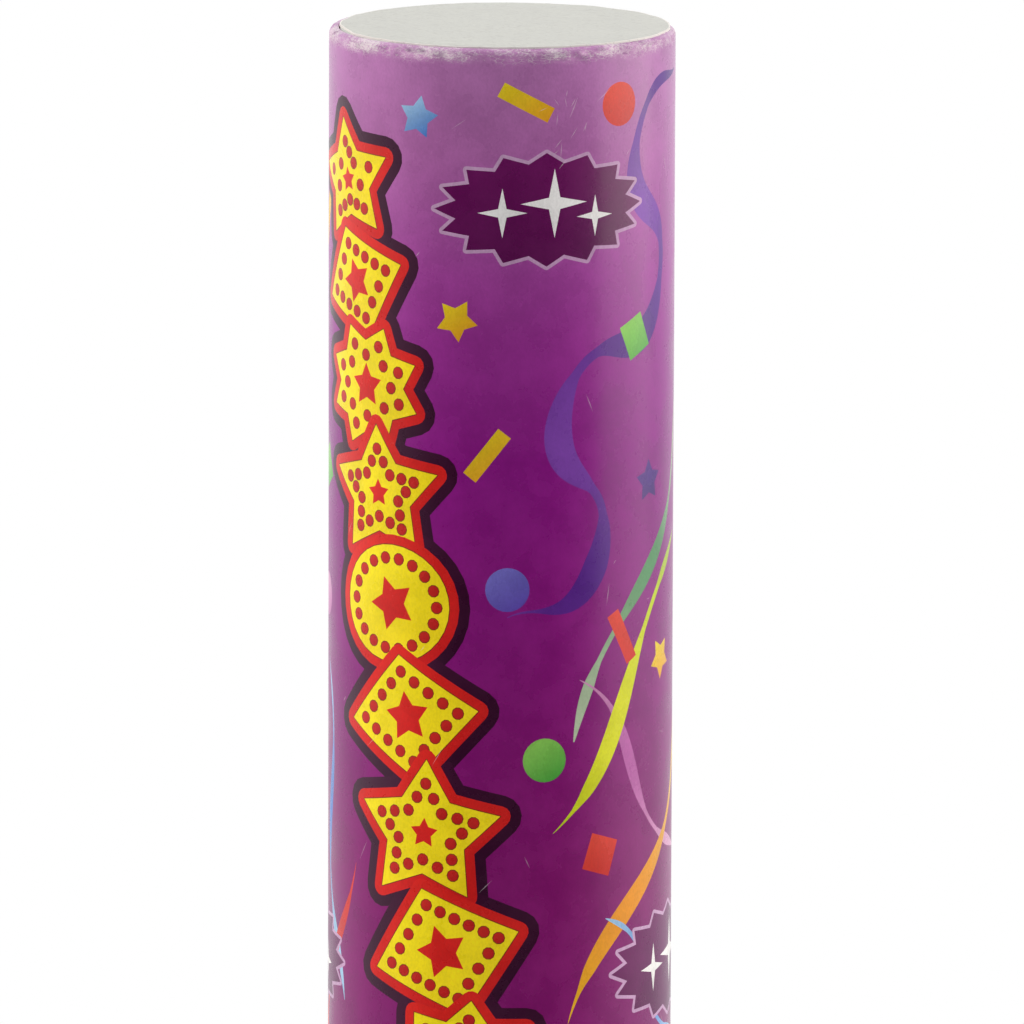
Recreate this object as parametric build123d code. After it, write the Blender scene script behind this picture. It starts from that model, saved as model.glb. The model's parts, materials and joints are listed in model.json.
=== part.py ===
from build123d import *
import math
import os

# A hand-held, twist-to-fire confetti popper. A printed paper tube holds confetti and streamers over a wad.
# The lower third is a grip that turns. It carries an air bottle, whose mouth a stopper closes.
# Turning the grip drives a cam that lifts the stopper out, and the air blows the payload out of the muzzle.
# The frame is +Z up along the tube, with the origin on the axis at the foot. Lengths are in millimetres.

# Whole object
overall_length = 300.0
body_diameter = 50.0
grip_length = 95.0
twist_gap = 0.5

# Fits between pieces
glue_film = 0.05
glue_gap = 0.1
running_gap = 0.15
seat_gap = 0.3
cut_overrun = 1.0

# Paper tubes and their printed wraps
tube_wall = 0.9
wrap_thickness = 0.25
rim_round = 0.8
rim_chords = 3
turn_in_depth = 8.0
lap_width = 6.0
lap_rise = 0.15
lap_angle = 107.0
foot_standoff = 0.3

# Muzzle seal, a lid of silver paper whose brim lies on the rim
seal_thickness = 0.3
seal_brim = 0.4
seal_skirt_wall = 0.5
seal_skirt_depth = 5.0

# Joiner sleeve, glued in the barrel and running in the grip
joiner_wall = 1.5
collar_length = 22.5
shoulder_thickness = 2.0
skirt_length = 29.3
lip_height = 2.0
lip_catch = 0.9
groove_width = 2.0
groove_depth = 0.4
groove_count = 3

# Cam that lifts the stopper as the grip turns
cam_turn = 90.0
cam_lift = 10.0
cam_wall = 1.45
cam_slot_margin = 4.0
pin_count = 3
pin_diameter = 5.0
pin_chamfer = 0.4
pin_tip_gap = 0.2

# Spider that carries the stopper and the cam pins
spider_wall = 1.6
spider_plate = 2.5
spider_drop = 5.2
spider_rise = 13.0
arm_width = 8.0
boss_wall = 2.0
boss_depth = 5.0
hub_radius = 6.5
hub_rise = 2.0
window_margin = 1.2

# Stopper, its ring and its screw
mouth_radius = 6.0
plug_depth = 7.0
plug_chamfer = 0.8
ring_section = 2.0
ring_level = 3.2
ring_squeeze_gap = 0.05
ring_chamfer = 0.5
spigot_radius = 3.2
spigot_length = 2.0
screw_radius = 1.5
screw_reach = 7.0
screw_head_radius = 2.8
screw_head_height = 1.8
screw_head_chamfer = 0.9
screw_slot_width = 0.7
screw_slot_depth = 0.8

# Air bottle and its filling valve
corner_chords = 4
bottle_wall = 0.9
bottle_base = 7.0
bottle_corner = 5.0
bottle_inner_chamfer = 2.4
shoulder_drop = 5.0
shoulder_round = 4.0
neck_radius = 8.0
neck_length = 13.0
bead_radius = 9.2
bead_height = 2.0
bead_chamfer = 0.7
mouth_gap = 1.2
dimple_rise = 4.0
dimple_radius = 8.0
foot_ring_width = 3.0
valve_radius = 3.0
valve_flange = 5.0
valve_flange_thickness = 1.2

# Base cap
cap_floor = 2.0
cap_wall = 1.5
cap_height = 7.2
cap_recess_depth = 0.8
cap_foot_width = 5.0
cap_edge_chamfer = 0.6
cap_rib_count = 6
cap_rib_width = 1.6
cap_hub_radius = 4.0

# Wad that pushes the payload, and the cards between the layers
payload_gap = 0.3
wad_height = 12.0
wad_wall = 1.4
wad_floor = 2.0
wad_chamfer = 1.0
felt_thickness = 3.0
card_thickness = 0.8
stack_gap = 0.1

# Streamer rolls
roll_count = 6
roll_width = 8.5
roll_core_radius = 5.0
roll_tape_step = 0.5
roll_side_gap = 0.3
roll_turn = 67.0

# Confetti leaves, stood on end in four stacks a tier
tier_count = 2
tier_turn = 45.0
leaf_thickness = 0.5
leaf_pitch = 0.85
leaf_side_gap = 0.25
leaf_top_gap = 1.5
leaf_stagger = 0.9
confetti_colours = ["gold", "red", "blue", "green"]

# Radii of the layers, from the outside in
wrap_outer_r = body_diameter / 2
wrap_inner_r = wrap_outer_r - wrap_thickness
tube_outer_r = wrap_inner_r - glue_film
bore_r = tube_outer_r - tube_wall
turn_in_outer_r = bore_r - glue_film
turn_in_r = turn_in_outer_r - wrap_thickness
plug_r = bore_r - glue_gap
cam_inner_r = plug_r - cam_wall
skirt_outer_r = cam_inner_r - running_gap
skirt_inner_r = skirt_outer_r - joiner_wall
spider_r = skirt_inner_r - running_gap
payload_r = turn_in_r - payload_gap
pin_r = pin_diameter / 2
slot_r = pin_r + running_gap

# Heights, from the twist joint down and up
grip_top = grip_length
barrel_bottom = grip_top + twist_gap
shoulder_z = grip_top + seat_gap
collar_top = barrel_bottom + collar_length
skirt_bottom = shoulder_z - skirt_length
cam_bottom = skirt_bottom + lip_height + seat_gap
pin_low_z = cam_bottom + cam_slot_margin + slot_r
pin_high_z = pin_low_z + cam_lift
spider_bottom = pin_low_z - spider_drop
spider_top = pin_low_z + spider_rise
plate_bottom = spider_top - spider_plate
bottle_top = plate_bottom - mouth_gap
rim_top = overall_length - seal_thickness - glue_film
tube_top = rim_top - wrap_thickness - glue_film
tube_bottom = foot_standoff + wrap_thickness + glue_film

# Payload levels
wad_bottom = collar_top + stack_gap
wad_top = wad_bottom + wad_height
felt_bottom = wad_top + stack_gap
rolls_bottom = felt_bottom + felt_thickness + stack_gap
roll_pitch = roll_width + stack_gap
card_bottom = rolls_bottom + roll_count * roll_pitch
leaves_bottom = card_bottom + card_thickness + stack_gap
leaves_top = overall_length - seal_thickness - leaf_top_gap
tier_height = (leaves_top - leaves_bottom) / tier_count
pin_angles = [index * 360 / pin_count for index in range(pin_count)]


def turned(*corners):
    """Returns the solid turned about Z by an outline of (radius, height) corners."""
    return revolve(Plane.XZ * make_face(Polyline(*corners, close=True)), Axis.Z)


def tube(outer_radius, inner_radius, bottom, top):
    """Returns a plain tube about Z."""
    return turned((inner_radius, bottom), (outer_radius, bottom), (outer_radius, top), (inner_radius, top))


def disc(radius, bottom, top):
    """Returns a plain disc about Z."""
    return Pos(0, 0, bottom) * Cylinder(radius, top - bottom, align=(Align.CENTER, Align.CENTER, Align.MIN))


def radial_rod(radius, inner, outer, height, angle):
    """Returns a rod of that radius lying along a radius of the tube, at an angle about Z."""
    rod = Cylinder(radius, outer - inner, align=(Align.CENTER, Align.CENTER, Align.MIN))
    return Rot(0, 0, angle) * Pos(inner, 0, height) * Rot(0, 90, 0) * rod


def radial_bar(width, inner, outer, bottom, top, angle):
    """Returns a bar of that width along a radius of the tube, at an angle about Z."""
    bar = Box(outer - inner, width, top - bottom, align=(Align.MIN, Align.CENTER, Align.MIN))
    return Rot(0, 0, angle) * Pos(inner, 0, bottom) * bar


def corner_at(shape, radius, height):
    """Returns the outline corner of a flat profile nearest to a radius and height."""
    return shape.vertices().sort_by_distance((radius, height, 0))[0]


def rounded(before, corner, after, radius):
    """Returns the points of the chords that round an outline's corner, given the corners beside it."""
    tip = Vector(*corner)
    back = (Vector(*before) - tip).normalized()
    ahead = (Vector(*after) - tip).normalized()
    half = math.radians(back.get_angle(ahead)) / 2
    centre = tip + (back + ahead).normalized() * (radius / math.sin(half))
    spoke = tip + back * (radius / math.tan(half)) - centre
    turn = math.copysign(180 - 2 * math.degrees(half), ahead.cross(back).Z)
    steps = [turn * index / corner_chords for index in range(corner_chords + 1)]
    return [tuple(centre + spoke.rotate(Axis.Z, step))[:2] for step in steps]


def turned_eased(corners, rounds=None, chamfers=None):
    """Returns a turned solid whose outline has some corners eased, given as {corner: radius or chamfer}."""
    outline = []
    for before, corner, after in zip(corners[-1:] + corners, corners, corners[1:] + corners[:1]):
        radius = (rounds or {}).get(corner)
        outline += rounded(before, corner, after, radius) if radius else [corner]
    profile = make_face(Polyline(*outline, close=True))
    for corner, length in (chamfers or {}).items():
        profile = chamfer(corner_at(profile, *corner), length)
    return revolve(Plane.XZ * profile, Axis.Z)


def rim_arc(radius, centre_z, up):
    """Returns the corners of a tube's eased rim, as chords of a quarter circle from its side to its end."""
    centre_r = tube_outer_r - rim_round
    steps = [math.radians(90 * index / rim_chords) for index in range(rim_chords + 1)]
    return [(centre_r + radius * math.cos(step), centre_z + up * radius * math.sin(step)) for step in steps]


def wrap_sheet(plain_end, rim_end):
    """Returns a printed wrap, glued up a tube, over its rim and down into its bore.

    plain_end is the height of the wrap's cut edge. rim_end is the outer height of the turned rim.
    """
    up = 1 if rim_end > plain_end else -1
    inner_round = rim_round + glue_film
    outer_round = inner_round + wrap_thickness
    centre_z = rim_end - up * outer_round
    under_rim = rim_end - up * wrap_thickness
    tuck_z = rim_end - up * turn_in_depth
    return turned(
        (wrap_outer_r, plain_end), *rim_arc(outer_round, centre_z, up), (turn_in_r, rim_end),
        (turn_in_r, tuck_z), (turn_in_outer_r, tuck_z), (turn_in_outer_r, under_rim),
        *reversed(rim_arc(inner_round, centre_z, up)), (wrap_inner_r, plain_end),
    )


def wrap_lap(bottom, top):
    """Returns the strip where the sheet laps over itself, a second thickness on the wrap's outside."""
    reach = wrap_outer_r + lap_rise
    second_layer = tube(reach, wrap_outer_r - wrap_thickness / 2, bottom, top)
    return second_layer & radial_bar(lap_width, 0, reach, bottom, top, lap_angle)


def make_barrel_tube():
    """Wound paperboard tube, its muzzle edge rounded on the outside."""
    rim = rim_arc(rim_round, tube_top - rim_round, 1)
    return turned((bore_r, barrel_bottom), (tube_outer_r, barrel_bottom), *rim, (bore_r, tube_top))


def make_barrel_wrap():
    """Printed paper on the barrel, turned in over the muzzle."""
    lap_top = rim_top - wrap_thickness - glue_film - rim_round
    return wrap_sheet(barrel_bottom, rim_top) + wrap_lap(barrel_bottom, lap_top)


def make_grip_tube():
    """Wound paperboard tube of the grip, its lower edge rounded on the outside."""
    rim = rim_arc(rim_round, tube_bottom + rim_round, -1)
    return turned((bore_r, grip_top), (tube_outer_r, grip_top), *rim, (bore_r, tube_bottom))


def make_grip_wrap():
    """Printed paper on the grip, turned in over the lower edge."""
    lap_bottom = foot_standoff + wrap_thickness + glue_film + rim_round
    return wrap_sheet(grip_top, foot_standoff) + wrap_lap(lap_bottom, grip_top)


def make_muzzle_seal():
    """Silver paper lid that closes the muzzle: a brim glued on the rim, over a skirt in the bore."""
    brim_r = turn_in_r + seal_brim
    outer = turn_in_r - glue_gap
    inner = outer - seal_skirt_wall
    under = overall_length - seal_thickness
    skirt_end = under - seal_skirt_depth
    return turned(
        (0, under), (inner, under), (inner, skirt_end), (outer, skirt_end), (outer, under),
        (brim_r, under), (brim_r, overall_length), (0, overall_length),
    )


def make_joiner_sleeve():
    """Stepped sleeve: a grooved collar glued in the barrel, and snap fingers that hold the cam sleeve."""
    collar_inner = plug_r - joiner_wall
    ledge_top = shoulder_z + shoulder_thickness
    lip_r = cam_inner_r + lip_catch
    body = turned(
        (skirt_inner_r, skirt_bottom), (skirt_outer_r, skirt_bottom), (lip_r, skirt_bottom + lip_height / 2),
        (lip_r, skirt_bottom + lip_height), (skirt_outer_r, skirt_bottom + lip_height),
        (skirt_outer_r, shoulder_z), (plug_r, shoulder_z), (plug_r, collar_top),
        (collar_inner, collar_top), (collar_inner, ledge_top), (skirt_inner_r, ledge_top),
    )
    groove_pitch = (collar_top - barrel_bottom) / (groove_count + 1)
    for index in range(groove_count):
        bottom = barrel_bottom + (index + 1) * groove_pitch - groove_width / 2
        body -= tube(plug_r + cut_overrun, plug_r - groove_depth, bottom, bottom + groove_width)
    for angle in pin_angles:
        inside = skirt_inner_r - cut_overrun
        outside = lip_r + cut_overrun
        body -= radial_bar(2 * slot_r, inside, outside, skirt_bottom - cut_overrun, pin_high_z, angle)
        body -= radial_rod(slot_r, inside, outside, pin_high_z, angle)
    return body


def cam_slot(angle):
    """Returns the cutter of one helical slot, low at the pin's angle and rising against the grip's turn."""
    middle_r = (plug_r + cam_inner_r) / 2
    lead = cam_lift * 360 / cam_turn
    slope = math.atan2(lead, 2 * math.pi * cam_inner_r)
    section = Pos(middle_r, 0) * Rectangle(cam_wall + 2 * cut_overrun, 2 * slot_r / math.cos(slope))
    path = Helix(pitch=lead, height=cam_lift, radius=middle_r, lefthand=True)
    track = sweep(Plane.XZ * section, path=path, is_frenet=True)
    slot = Rot(0, 0, angle) * Pos(0, 0, pin_low_z) * track
    inside = cam_inner_r - cut_overrun
    outside = plug_r + cut_overrun
    slot += radial_rod(slot_r, inside, outside, pin_low_z, angle)
    slot += radial_rod(slot_r, inside, outside, pin_high_z, angle - cam_turn)
    return slot


def make_cam_sleeve():
    """Sleeve glued in the grip, with a helical slot for each pin."""
    sleeve = tube(plug_r, cam_inner_r, cam_bottom, grip_top)
    for angle in pin_angles:
        sleeve -= cam_slot(angle)
    return sleeve


def make_spider():
    """Skirted plate with windows for the air, a hub for the stopper and a boss for each cam pin."""
    inner = spider_r - spider_wall
    body = turned(
        (0, plate_bottom), (inner, plate_bottom), (inner, spider_bottom), (spider_r, spider_bottom),
        (spider_r, spider_top), (hub_radius, spider_top), (hub_radius, spider_top + hub_rise),
        (0, spider_top + hub_rise),
    )
    cut_bottom = plate_bottom - cut_overrun
    cut_top = spider_top + cut_overrun
    windows = tube(inner - window_margin, hub_radius + window_margin, cut_bottom, cut_top)
    for angle in pin_angles:
        windows -= radial_bar(arm_width, 0, spider_r, cut_bottom, cut_top, angle)
    body -= windows
    boss_inner = inner - boss_depth
    for angle in pin_angles:
        body += radial_rod(pin_r + boss_wall, boss_inner, spider_r - spider_wall / 2, pin_low_z, angle)
    for angle in pin_angles:
        pin_seat = boss_inner + boss_wall
        body -= radial_rod(pin_r + glue_film, pin_seat, spider_r + cut_overrun, pin_low_z, angle)
    body -= disc(spigot_radius + glue_film, cut_bottom, plate_bottom + spigot_length + glue_film)
    body -= disc(screw_radius + glue_gap, plate_bottom, spider_top + hub_rise + cut_overrun)
    return body


def make_cam_pins():
    """Three dowels pressed into the spider, which reach through the joiner into the cam slots."""
    inner = spider_r - spider_wall - boss_depth + boss_wall + seat_gap
    outer = plug_r - pin_tip_gap
    dowel = Cylinder(pin_r, outer - inner, align=(Align.CENTER, Align.CENTER, Align.MIN))
    dowel = chamfer(dowel.edges().filter_by(GeomType.CIRCLE), pin_chamfer)
    place = Pos(inner, 0, pin_low_z) * Rot(0, 90, 0)
    return Compound([Rot(0, 0, angle) * place * dowel for angle in pin_angles])


def make_stopper():
    """Plug in the bottle's mouth, grooved for its ring and spigoted into the spider's hub."""
    plug = mouth_radius - running_gap
    bottom = bottle_top - plug_depth
    groove_r = mouth_radius - ring_squeeze_gap - ring_section - glue_film
    groove_half = ring_section / 2 + glue_gap
    middle = bottom + ring_level
    body = turned(
        (0, bottom), (plug - plug_chamfer, bottom), (plug, bottom + plug_chamfer),
        (plug, middle - groove_half), (groove_r, middle - groove_half), (groove_r, middle + groove_half),
        (plug, middle + groove_half), (plug, plate_bottom), (spigot_radius, plate_bottom),
        (spigot_radius, plate_bottom + spigot_length), (0, plate_bottom + spigot_length),
    )
    pilot_bottom = spider_top + hub_rise - screw_reach - seat_gap
    return body - disc(screw_radius + glue_film, pilot_bottom, plate_bottom + spigot_length + cut_overrun)


def make_stopper_ring():
    """Lathe-cut rubber ring in the stopper's groove."""
    middle = bottle_top - plug_depth + ring_level
    centre_r = mouth_radius - ring_squeeze_gap - ring_section / 2
    section = Pos(centre_r, middle) * Rectangle(ring_section, ring_section)
    section = chamfer(section.vertices(), ring_chamfer)
    return revolve(Plane.XZ * section, Axis.Z)


def make_stopper_screw():
    """Slotted screw through the hub into the stopper."""
    seat = spider_top + hub_rise
    top = seat + screw_head_height
    tip = seat - screw_reach
    corners = [
        (0, tip), (screw_radius, tip + screw_radius), (screw_radius, seat),
        (screw_head_radius, seat), (screw_head_radius, top), (0, top),
    ]
    body = turned_eased(corners, chamfers={(screw_head_radius, top): screw_head_chamfer})
    reach = 2 * screw_head_radius
    return body - Pos(0, 0, top) * Box(reach, screw_slot_width, 2 * screw_slot_depth)


def make_air_bottle():
    """Drawn aluminium bottle: dished base with a valve hole, sloped shoulder, neck and rolled bead."""
    body_r = plug_r
    shoulder_base = skirt_bottom - shoulder_drop
    neck_base = bottle_top - neck_length
    dish_top = bottle_base + dimple_rise
    ring_outer = body_r - bottle_corner
    ring_inner = ring_outer - foot_ring_width
    bead_base = bottle_top - bead_height
    outside = turned_eased(
        [
            (0, dish_top), (dimple_radius, dish_top), (ring_inner, bottle_base), (body_r, bottle_base),
            (body_r, shoulder_base), (neck_radius, neck_base), (neck_radius, bead_base),
            (bead_radius, bead_base), (bead_radius, bottle_top), (0, bottle_top),
        ],
        rounds={(body_r, bottle_base): bottle_corner, (body_r, shoulder_base): shoulder_round},
        chamfers={(bead_radius, bead_base): bead_chamfer, (bead_radius, bottle_top): bead_chamfer},
    )
    inner_r = body_r - bottle_wall
    floor = bottle_base + bottle_wall
    slope = (shoulder_base - neck_base) / (body_r - neck_radius)
    throat_z = neck_base - bottle_wall + slope * (mouth_radius - neck_radius)
    inside = turned_eased(
        [
            (0, dish_top + bottle_wall), (dimple_radius + bottle_wall / 2, dish_top + bottle_wall),
            (ring_inner + bottle_wall, floor), (inner_r, floor), (inner_r, shoulder_base - bottle_wall),
            (mouth_radius, throat_z), (mouth_radius, bottle_top + cut_overrun), (0, bottle_top + cut_overrun),
        ],
        chamfers={(inner_r, floor): bottle_inner_chamfer},
    )
    hole = disc(valve_radius + glue_film, dish_top - cut_overrun, dish_top + bottle_wall + cut_overrun)
    return outside - inside - hole


def make_fill_valve():
    """Rubber filling valve buttoned into the bottle's base."""
    under = bottle_base + dimple_rise - glue_film
    over = under + bottle_wall + 2 * glue_film
    bottom = under - valve_flange_thickness
    top = over + valve_flange_thickness
    return turned(
        (0, bottom), (valve_flange, bottom), (valve_flange, under), (valve_radius, under),
        (valve_radius, over), (valve_flange, over), (valve_radius, top), (0, top),
    )


def make_base_cap():
    """Moulded foot: a recessed floor, a skirt glued in the grip and ribs that carry the bottle."""
    outer = turn_in_r - glue_gap
    inner = outer - cap_wall
    foot_inner = outer - cap_foot_width
    body = turned_eased(
        [
            (0, cap_recess_depth), (foot_inner, cap_recess_depth), (foot_inner, 0), (outer, 0),
            (outer, cap_height), (inner, cap_height), (inner, cap_floor), (0, cap_floor),
        ],
        chamfers={(outer, 0): cap_edge_chamfer},
    )
    body += disc(cap_hub_radius, cap_recess_depth, bottle_base)
    for index in range(cap_rib_count):
        angle = index * 360 / cap_rib_count
        body += radial_bar(cap_rib_width, 0, outer - bottle_corner, cap_recess_depth, bottle_base, angle)
    return body


def make_wad_cup():
    """Moulded wad, open downwards so that the air spreads its skirt against the bore."""
    inner = payload_r - wad_wall
    corners = [
        (0, wad_top - wad_floor), (inner, wad_top - wad_floor), (inner, wad_bottom), (payload_r, wad_bottom),
        (payload_r, wad_top), (0, wad_top),
    ]
    return turned_eased(corners, chamfers={(payload_r, wad_top): wad_chamfer})


def make_wad_felt():
    """Felt disc over the wad."""
    return disc(payload_r, felt_bottom, felt_bottom + felt_thickness)


def make_divider_card():
    """Card between the streamers and the confetti."""
    return disc(payload_r, card_bottom, card_bottom + card_thickness)


def make_streamer_roll(index):
    """One wound streamer, whose loose end shows as a step in its outline."""
    outer = payload_r - roll_side_gap
    inner_turn = outer - roll_tape_step / 2
    edges = [
        CenterArc((0, 0), outer, 0, 180),
        CenterArc((inner_turn - outer, 0), inner_turn, 180, 180),
        Line((outer - roll_tape_step, 0), (outer, 0)),
    ]
    roll = extrude(make_face(edges) - Circle(roll_core_radius), roll_width)
    return Pos(0, 0, rolls_bottom + index * roll_pitch) * Rot(0, 0, index * roll_turn) * roll


def make_confetti(colour_index):
    """The leaves of one colour: a stack in each tier, over a quarter of the bore, unevenly tapped down."""
    quarter = payload_r / math.sqrt(2)
    leaf_width = quarter - 2 * leaf_side_gap
    leaf_total = int((leaf_width - leaf_thickness) / leaf_pitch) + 1
    leaf_height = tier_height - stack_gap - leaf_stagger
    leaf = Box(leaf_thickness, leaf_width, leaf_height, align=(Align.MIN, Align.MIN, Align.MIN))
    leaves = []
    for tier in range(tier_count):
        turn = colour_index * 360 / len(confetti_colours) + tier * tier_turn
        level = leaves_bottom + tier * tier_height
        for number in range(leaf_total):
            lift = leaf_stagger * (1 + math.sin(number * number + colour_index + tier)) / 2
            place = Pos(leaf_side_gap + number * leaf_pitch, leaf_side_gap, level + lift)
            leaves.append(Rot(0, 0, turn) * place * leaf)
    return Compound(leaves)


def main():
    """Builds every piece and writes one STEP file for each node."""
    pieces = {
        "barrel_tube": make_barrel_tube(),
        "barrel_wrap": make_barrel_wrap(),
        "joiner_sleeve": make_joiner_sleeve(),
        "grip_tube": make_grip_tube(),
        "grip_wrap": make_grip_wrap(),
        "cam_sleeve": make_cam_sleeve(),
        "air_bottle": make_air_bottle(),
        "fill_valve": make_fill_valve(),
        "base_cap": make_base_cap(),
        "spider": make_spider(),
        "cam_pins": make_cam_pins(),
        "stopper": make_stopper(),
        "stopper_ring": make_stopper_ring(),
        "stopper_screw": make_stopper_screw(),
        "wad_cup": make_wad_cup(),
        "wad_felt": make_wad_felt(),
        "divider_card": make_divider_card(),
        "muzzle_seal": make_muzzle_seal(),
    }
    for index in range(roll_count):
        pieces[f"streamer_roll_{index + 1}"] = make_streamer_roll(index)
    for index, colour in enumerate(confetti_colours):
        pieces[f"confetti_{colour}"] = make_confetti(index)
    os.makedirs("parts", exist_ok=True)
    for name, piece in pieces.items():
        export_step(piece, f"parts/{name}.step")


main()
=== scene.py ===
import json
import logging
import math
import random
from dataclasses import dataclass, field
from enum import Enum
from typing import Iterator, Sequence

import bpy
import numpy as np
from mathutils import Matrix, Vector, noise
from mathutils.geometry import delaunay_2d_cdt


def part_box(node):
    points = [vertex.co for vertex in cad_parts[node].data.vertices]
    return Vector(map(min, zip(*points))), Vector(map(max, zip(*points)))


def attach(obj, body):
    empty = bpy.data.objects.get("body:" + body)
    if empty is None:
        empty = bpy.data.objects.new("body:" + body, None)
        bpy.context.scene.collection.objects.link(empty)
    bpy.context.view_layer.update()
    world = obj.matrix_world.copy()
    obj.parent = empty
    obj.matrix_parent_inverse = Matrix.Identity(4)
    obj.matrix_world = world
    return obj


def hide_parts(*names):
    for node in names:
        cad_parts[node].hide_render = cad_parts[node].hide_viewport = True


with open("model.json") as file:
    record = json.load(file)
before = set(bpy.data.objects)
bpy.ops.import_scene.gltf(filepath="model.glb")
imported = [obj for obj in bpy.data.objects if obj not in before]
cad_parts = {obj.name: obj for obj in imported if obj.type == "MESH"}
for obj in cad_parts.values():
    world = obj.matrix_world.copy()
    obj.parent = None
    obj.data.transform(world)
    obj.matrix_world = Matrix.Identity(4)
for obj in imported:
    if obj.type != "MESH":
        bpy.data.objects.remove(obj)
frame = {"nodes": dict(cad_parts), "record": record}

LOG = logging.getLogger("confetti_popper")
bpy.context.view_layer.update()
MM = 0.001
FRONT_TURN = -math.pi / 2
SHEET_MAP = "OFBake"
PRINT_LAYER = "print_ink"
BARE_LAYER = "bare_paper"
NOISE_SPAN = (0.3, 0.7)
WIDE_NOISE_SPAN = (0.25, 0.75)

Pair = tuple[float, float]
Triple = tuple[float, float, float]
Colour = Triple
Outline = list[Vector]
Faces = list[list[int]]
Tree = bpy.types.NodeTree
Node = bpy.types.Node
Socket = bpy.types.NodeSocket
Material = bpy.types.Material


def smooth(low: float, high: float, value: float) -> float:
    """Eases a value from 0 at low to 1 at high.

    Args:
        low: Value that gives 0.
        high: Value that gives 1.
        value: Value to place between them.

    Returns:
        The eased share, between 0 and 1.
    """
    share = min(max((value - low) / (high - low), 0.0), 1.0)
    return share * share * (3.0 - 2.0 * share)


def between(first: Colour, last: Colour, share: float) -> Colour:
    """Returns the colour that lies at a share of the way from first to last."""
    return tuple(a + (b - a) * share for a, b in zip(first, last))


def opaque(colour: Colour, share: float = 1.0, lift: float = 0.0) -> tuple[float, float, float, float]:
    """Returns a colour times a share, lifted, kept within 1 and with an alpha of 1."""
    return (*(min(1.0, part * share + lift) for part in colour), 1.0)


def spaced(first: float, last: float, step: float) -> list[float]:
    """Returns evenly spaced values from first to last, about a step apart."""
    count = max(1, round(abs(last - first) / step))
    return [first + (last - first) * index / count for index in range(count + 1)]


class Ink(Enum):
    """The print's inks, each shaded between two linear colours."""

    GOLD = ((0.82, 0.64, 0.01), (0.74, 0.32, 0.008))
    YELLOW = ((0.95, 0.80, 0.002), (0.92, 0.71, 0.002))
    SCARLET = ((0.72, 0.012, 0.007), (0.62, 0.006, 0.007))
    BULB = ((0.58, 0.014, 0.010), (0.50, 0.008, 0.008))
    KEYLINE = ((0.24, 0.022, 0.006), (0.20, 0.014, 0.006))
    PLUM = ((0.050, 0.002, 0.030), (0.034, 0.001, 0.022))
    BADGE = ((0.17, 0.002, 0.125), (0.085, 0.001, 0.065))
    LILAC = ((0.58, 0.36, 0.58), (0.50, 0.28, 0.50))
    WHITE = ((0.90, 0.89, 0.90), (0.82, 0.81, 0.83))
    SKY = ((0.34, 0.56, 0.80), (0.05, 0.18, 0.60))
    COBALT = ((0.18, 0.16, 0.60), (0.10, 0.06, 0.42))
    INDIGO = ((0.075, 0.010, 0.24), (0.045, 0.004, 0.17))
    VIOLET = ((0.20, 0.05, 0.40), (0.080, 0.006, 0.23))
    SAGE = ((0.44, 0.54, 0.38), (0.08, 0.26, 0.11))
    LEAF = ((0.26, 0.60, 0.10), (0.07, 0.38, 0.05))
    LIME = ((0.70, 0.72, 0.01), (0.32, 0.48, 0.01))
    PINK = ((0.66, 0.32, 0.54), (0.46, 0.11, 0.38))
    ORANGE = ((0.86, 0.62, 0.01), (0.76, 0.28, 0.008))
    CORAL = ((0.72, 0.060, 0.035), (0.60, 0.020, 0.015))
    CORE = ((0.82, 0.80, 0.77), (0.82, 0.80, 0.77))


@dataclass(frozen=True)
class Patch:
    """One inked area of the flat sheet, shaded along a line. Places are in millimetres on the sheet."""

    outline: tuple[Vector, ...]
    start: Vector
    end: Vector
    first: Colour
    last: Colour

    def colour_at(self, place: Vector) -> Colour:
        """Finds the ink's colour at a place.

        Args:
            place: A place on the sheet.

        Returns:
            The colour.
        """
        line = self.end - self.start
        share = (place - self.start).dot(line) / max(line.length_squared, 1e-9)
        return between(self.first, self.last, min(max(share, 0.0), 1.0))


def toothed(points: int, radius: float, inner: float, turn: float = 0.0) -> Outline:
    """Outlines a star, burst or plain polygon about the origin.

    Args:
        points: How many points it has.
        radius: Distance of the points from the middle.
        inner: Distance of the notches from the middle. A value of 0 leaves the notches out.
        turn: Angle of the first point, anticlockwise from the right.

    Returns:
        The corners in order.
    """
    corners: Outline = []
    for index in range(points):
        angle = turn + index * 2 * math.pi / points
        corners.append(Vector((math.cos(angle), math.sin(angle))) * radius)
        if inner:
            angle += math.pi / points
            corners.append(Vector((math.cos(angle), math.sin(angle))) * inner)
    return corners


def oblong(width: float, height: float) -> Outline:
    """Returns a rectangle about the origin."""
    x, y = width / 2, height / 2
    return [Vector((-x, -y)), Vector((x, -y)), Vector((x, y)), Vector((-x, y))]


def grown(outline: Outline, margin: float) -> Outline:
    """Moves an outline's sides outwards, with its points rounded, or draws them in.

    Args:
        outline: Corners, anticlockwise.
        margin: How far the sides move. A negative value draws them in.

    Returns:
        The new corners.
    """
    arc_step, least_lean = 0.45, 0.4
    moved: Outline = []
    for index, corner in enumerate(outline):
        before = (corner - outline[index - 1]).normalized()
        after = (outline[(index + 1) % len(outline)] - corner).normalized()
        outward = Vector((before.y, -before.x))
        turn = math.atan2(before.x * after.y - before.y * after.x, before.dot(after))
        if margin > 0 and turn > arc_step:
            steps = round(turn / arc_step)
            arc = [Matrix.Rotation(turn * step / steps, 2) @ outward for step in range(steps + 1)]
            moved += [corner + spoke * margin for spoke in arc]
        else:
            middle = Matrix.Rotation(turn / 2, 2) @ outward
            moved.append(corner + middle * (margin / max(middle.dot(outward), least_lean)))
    return moved


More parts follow.
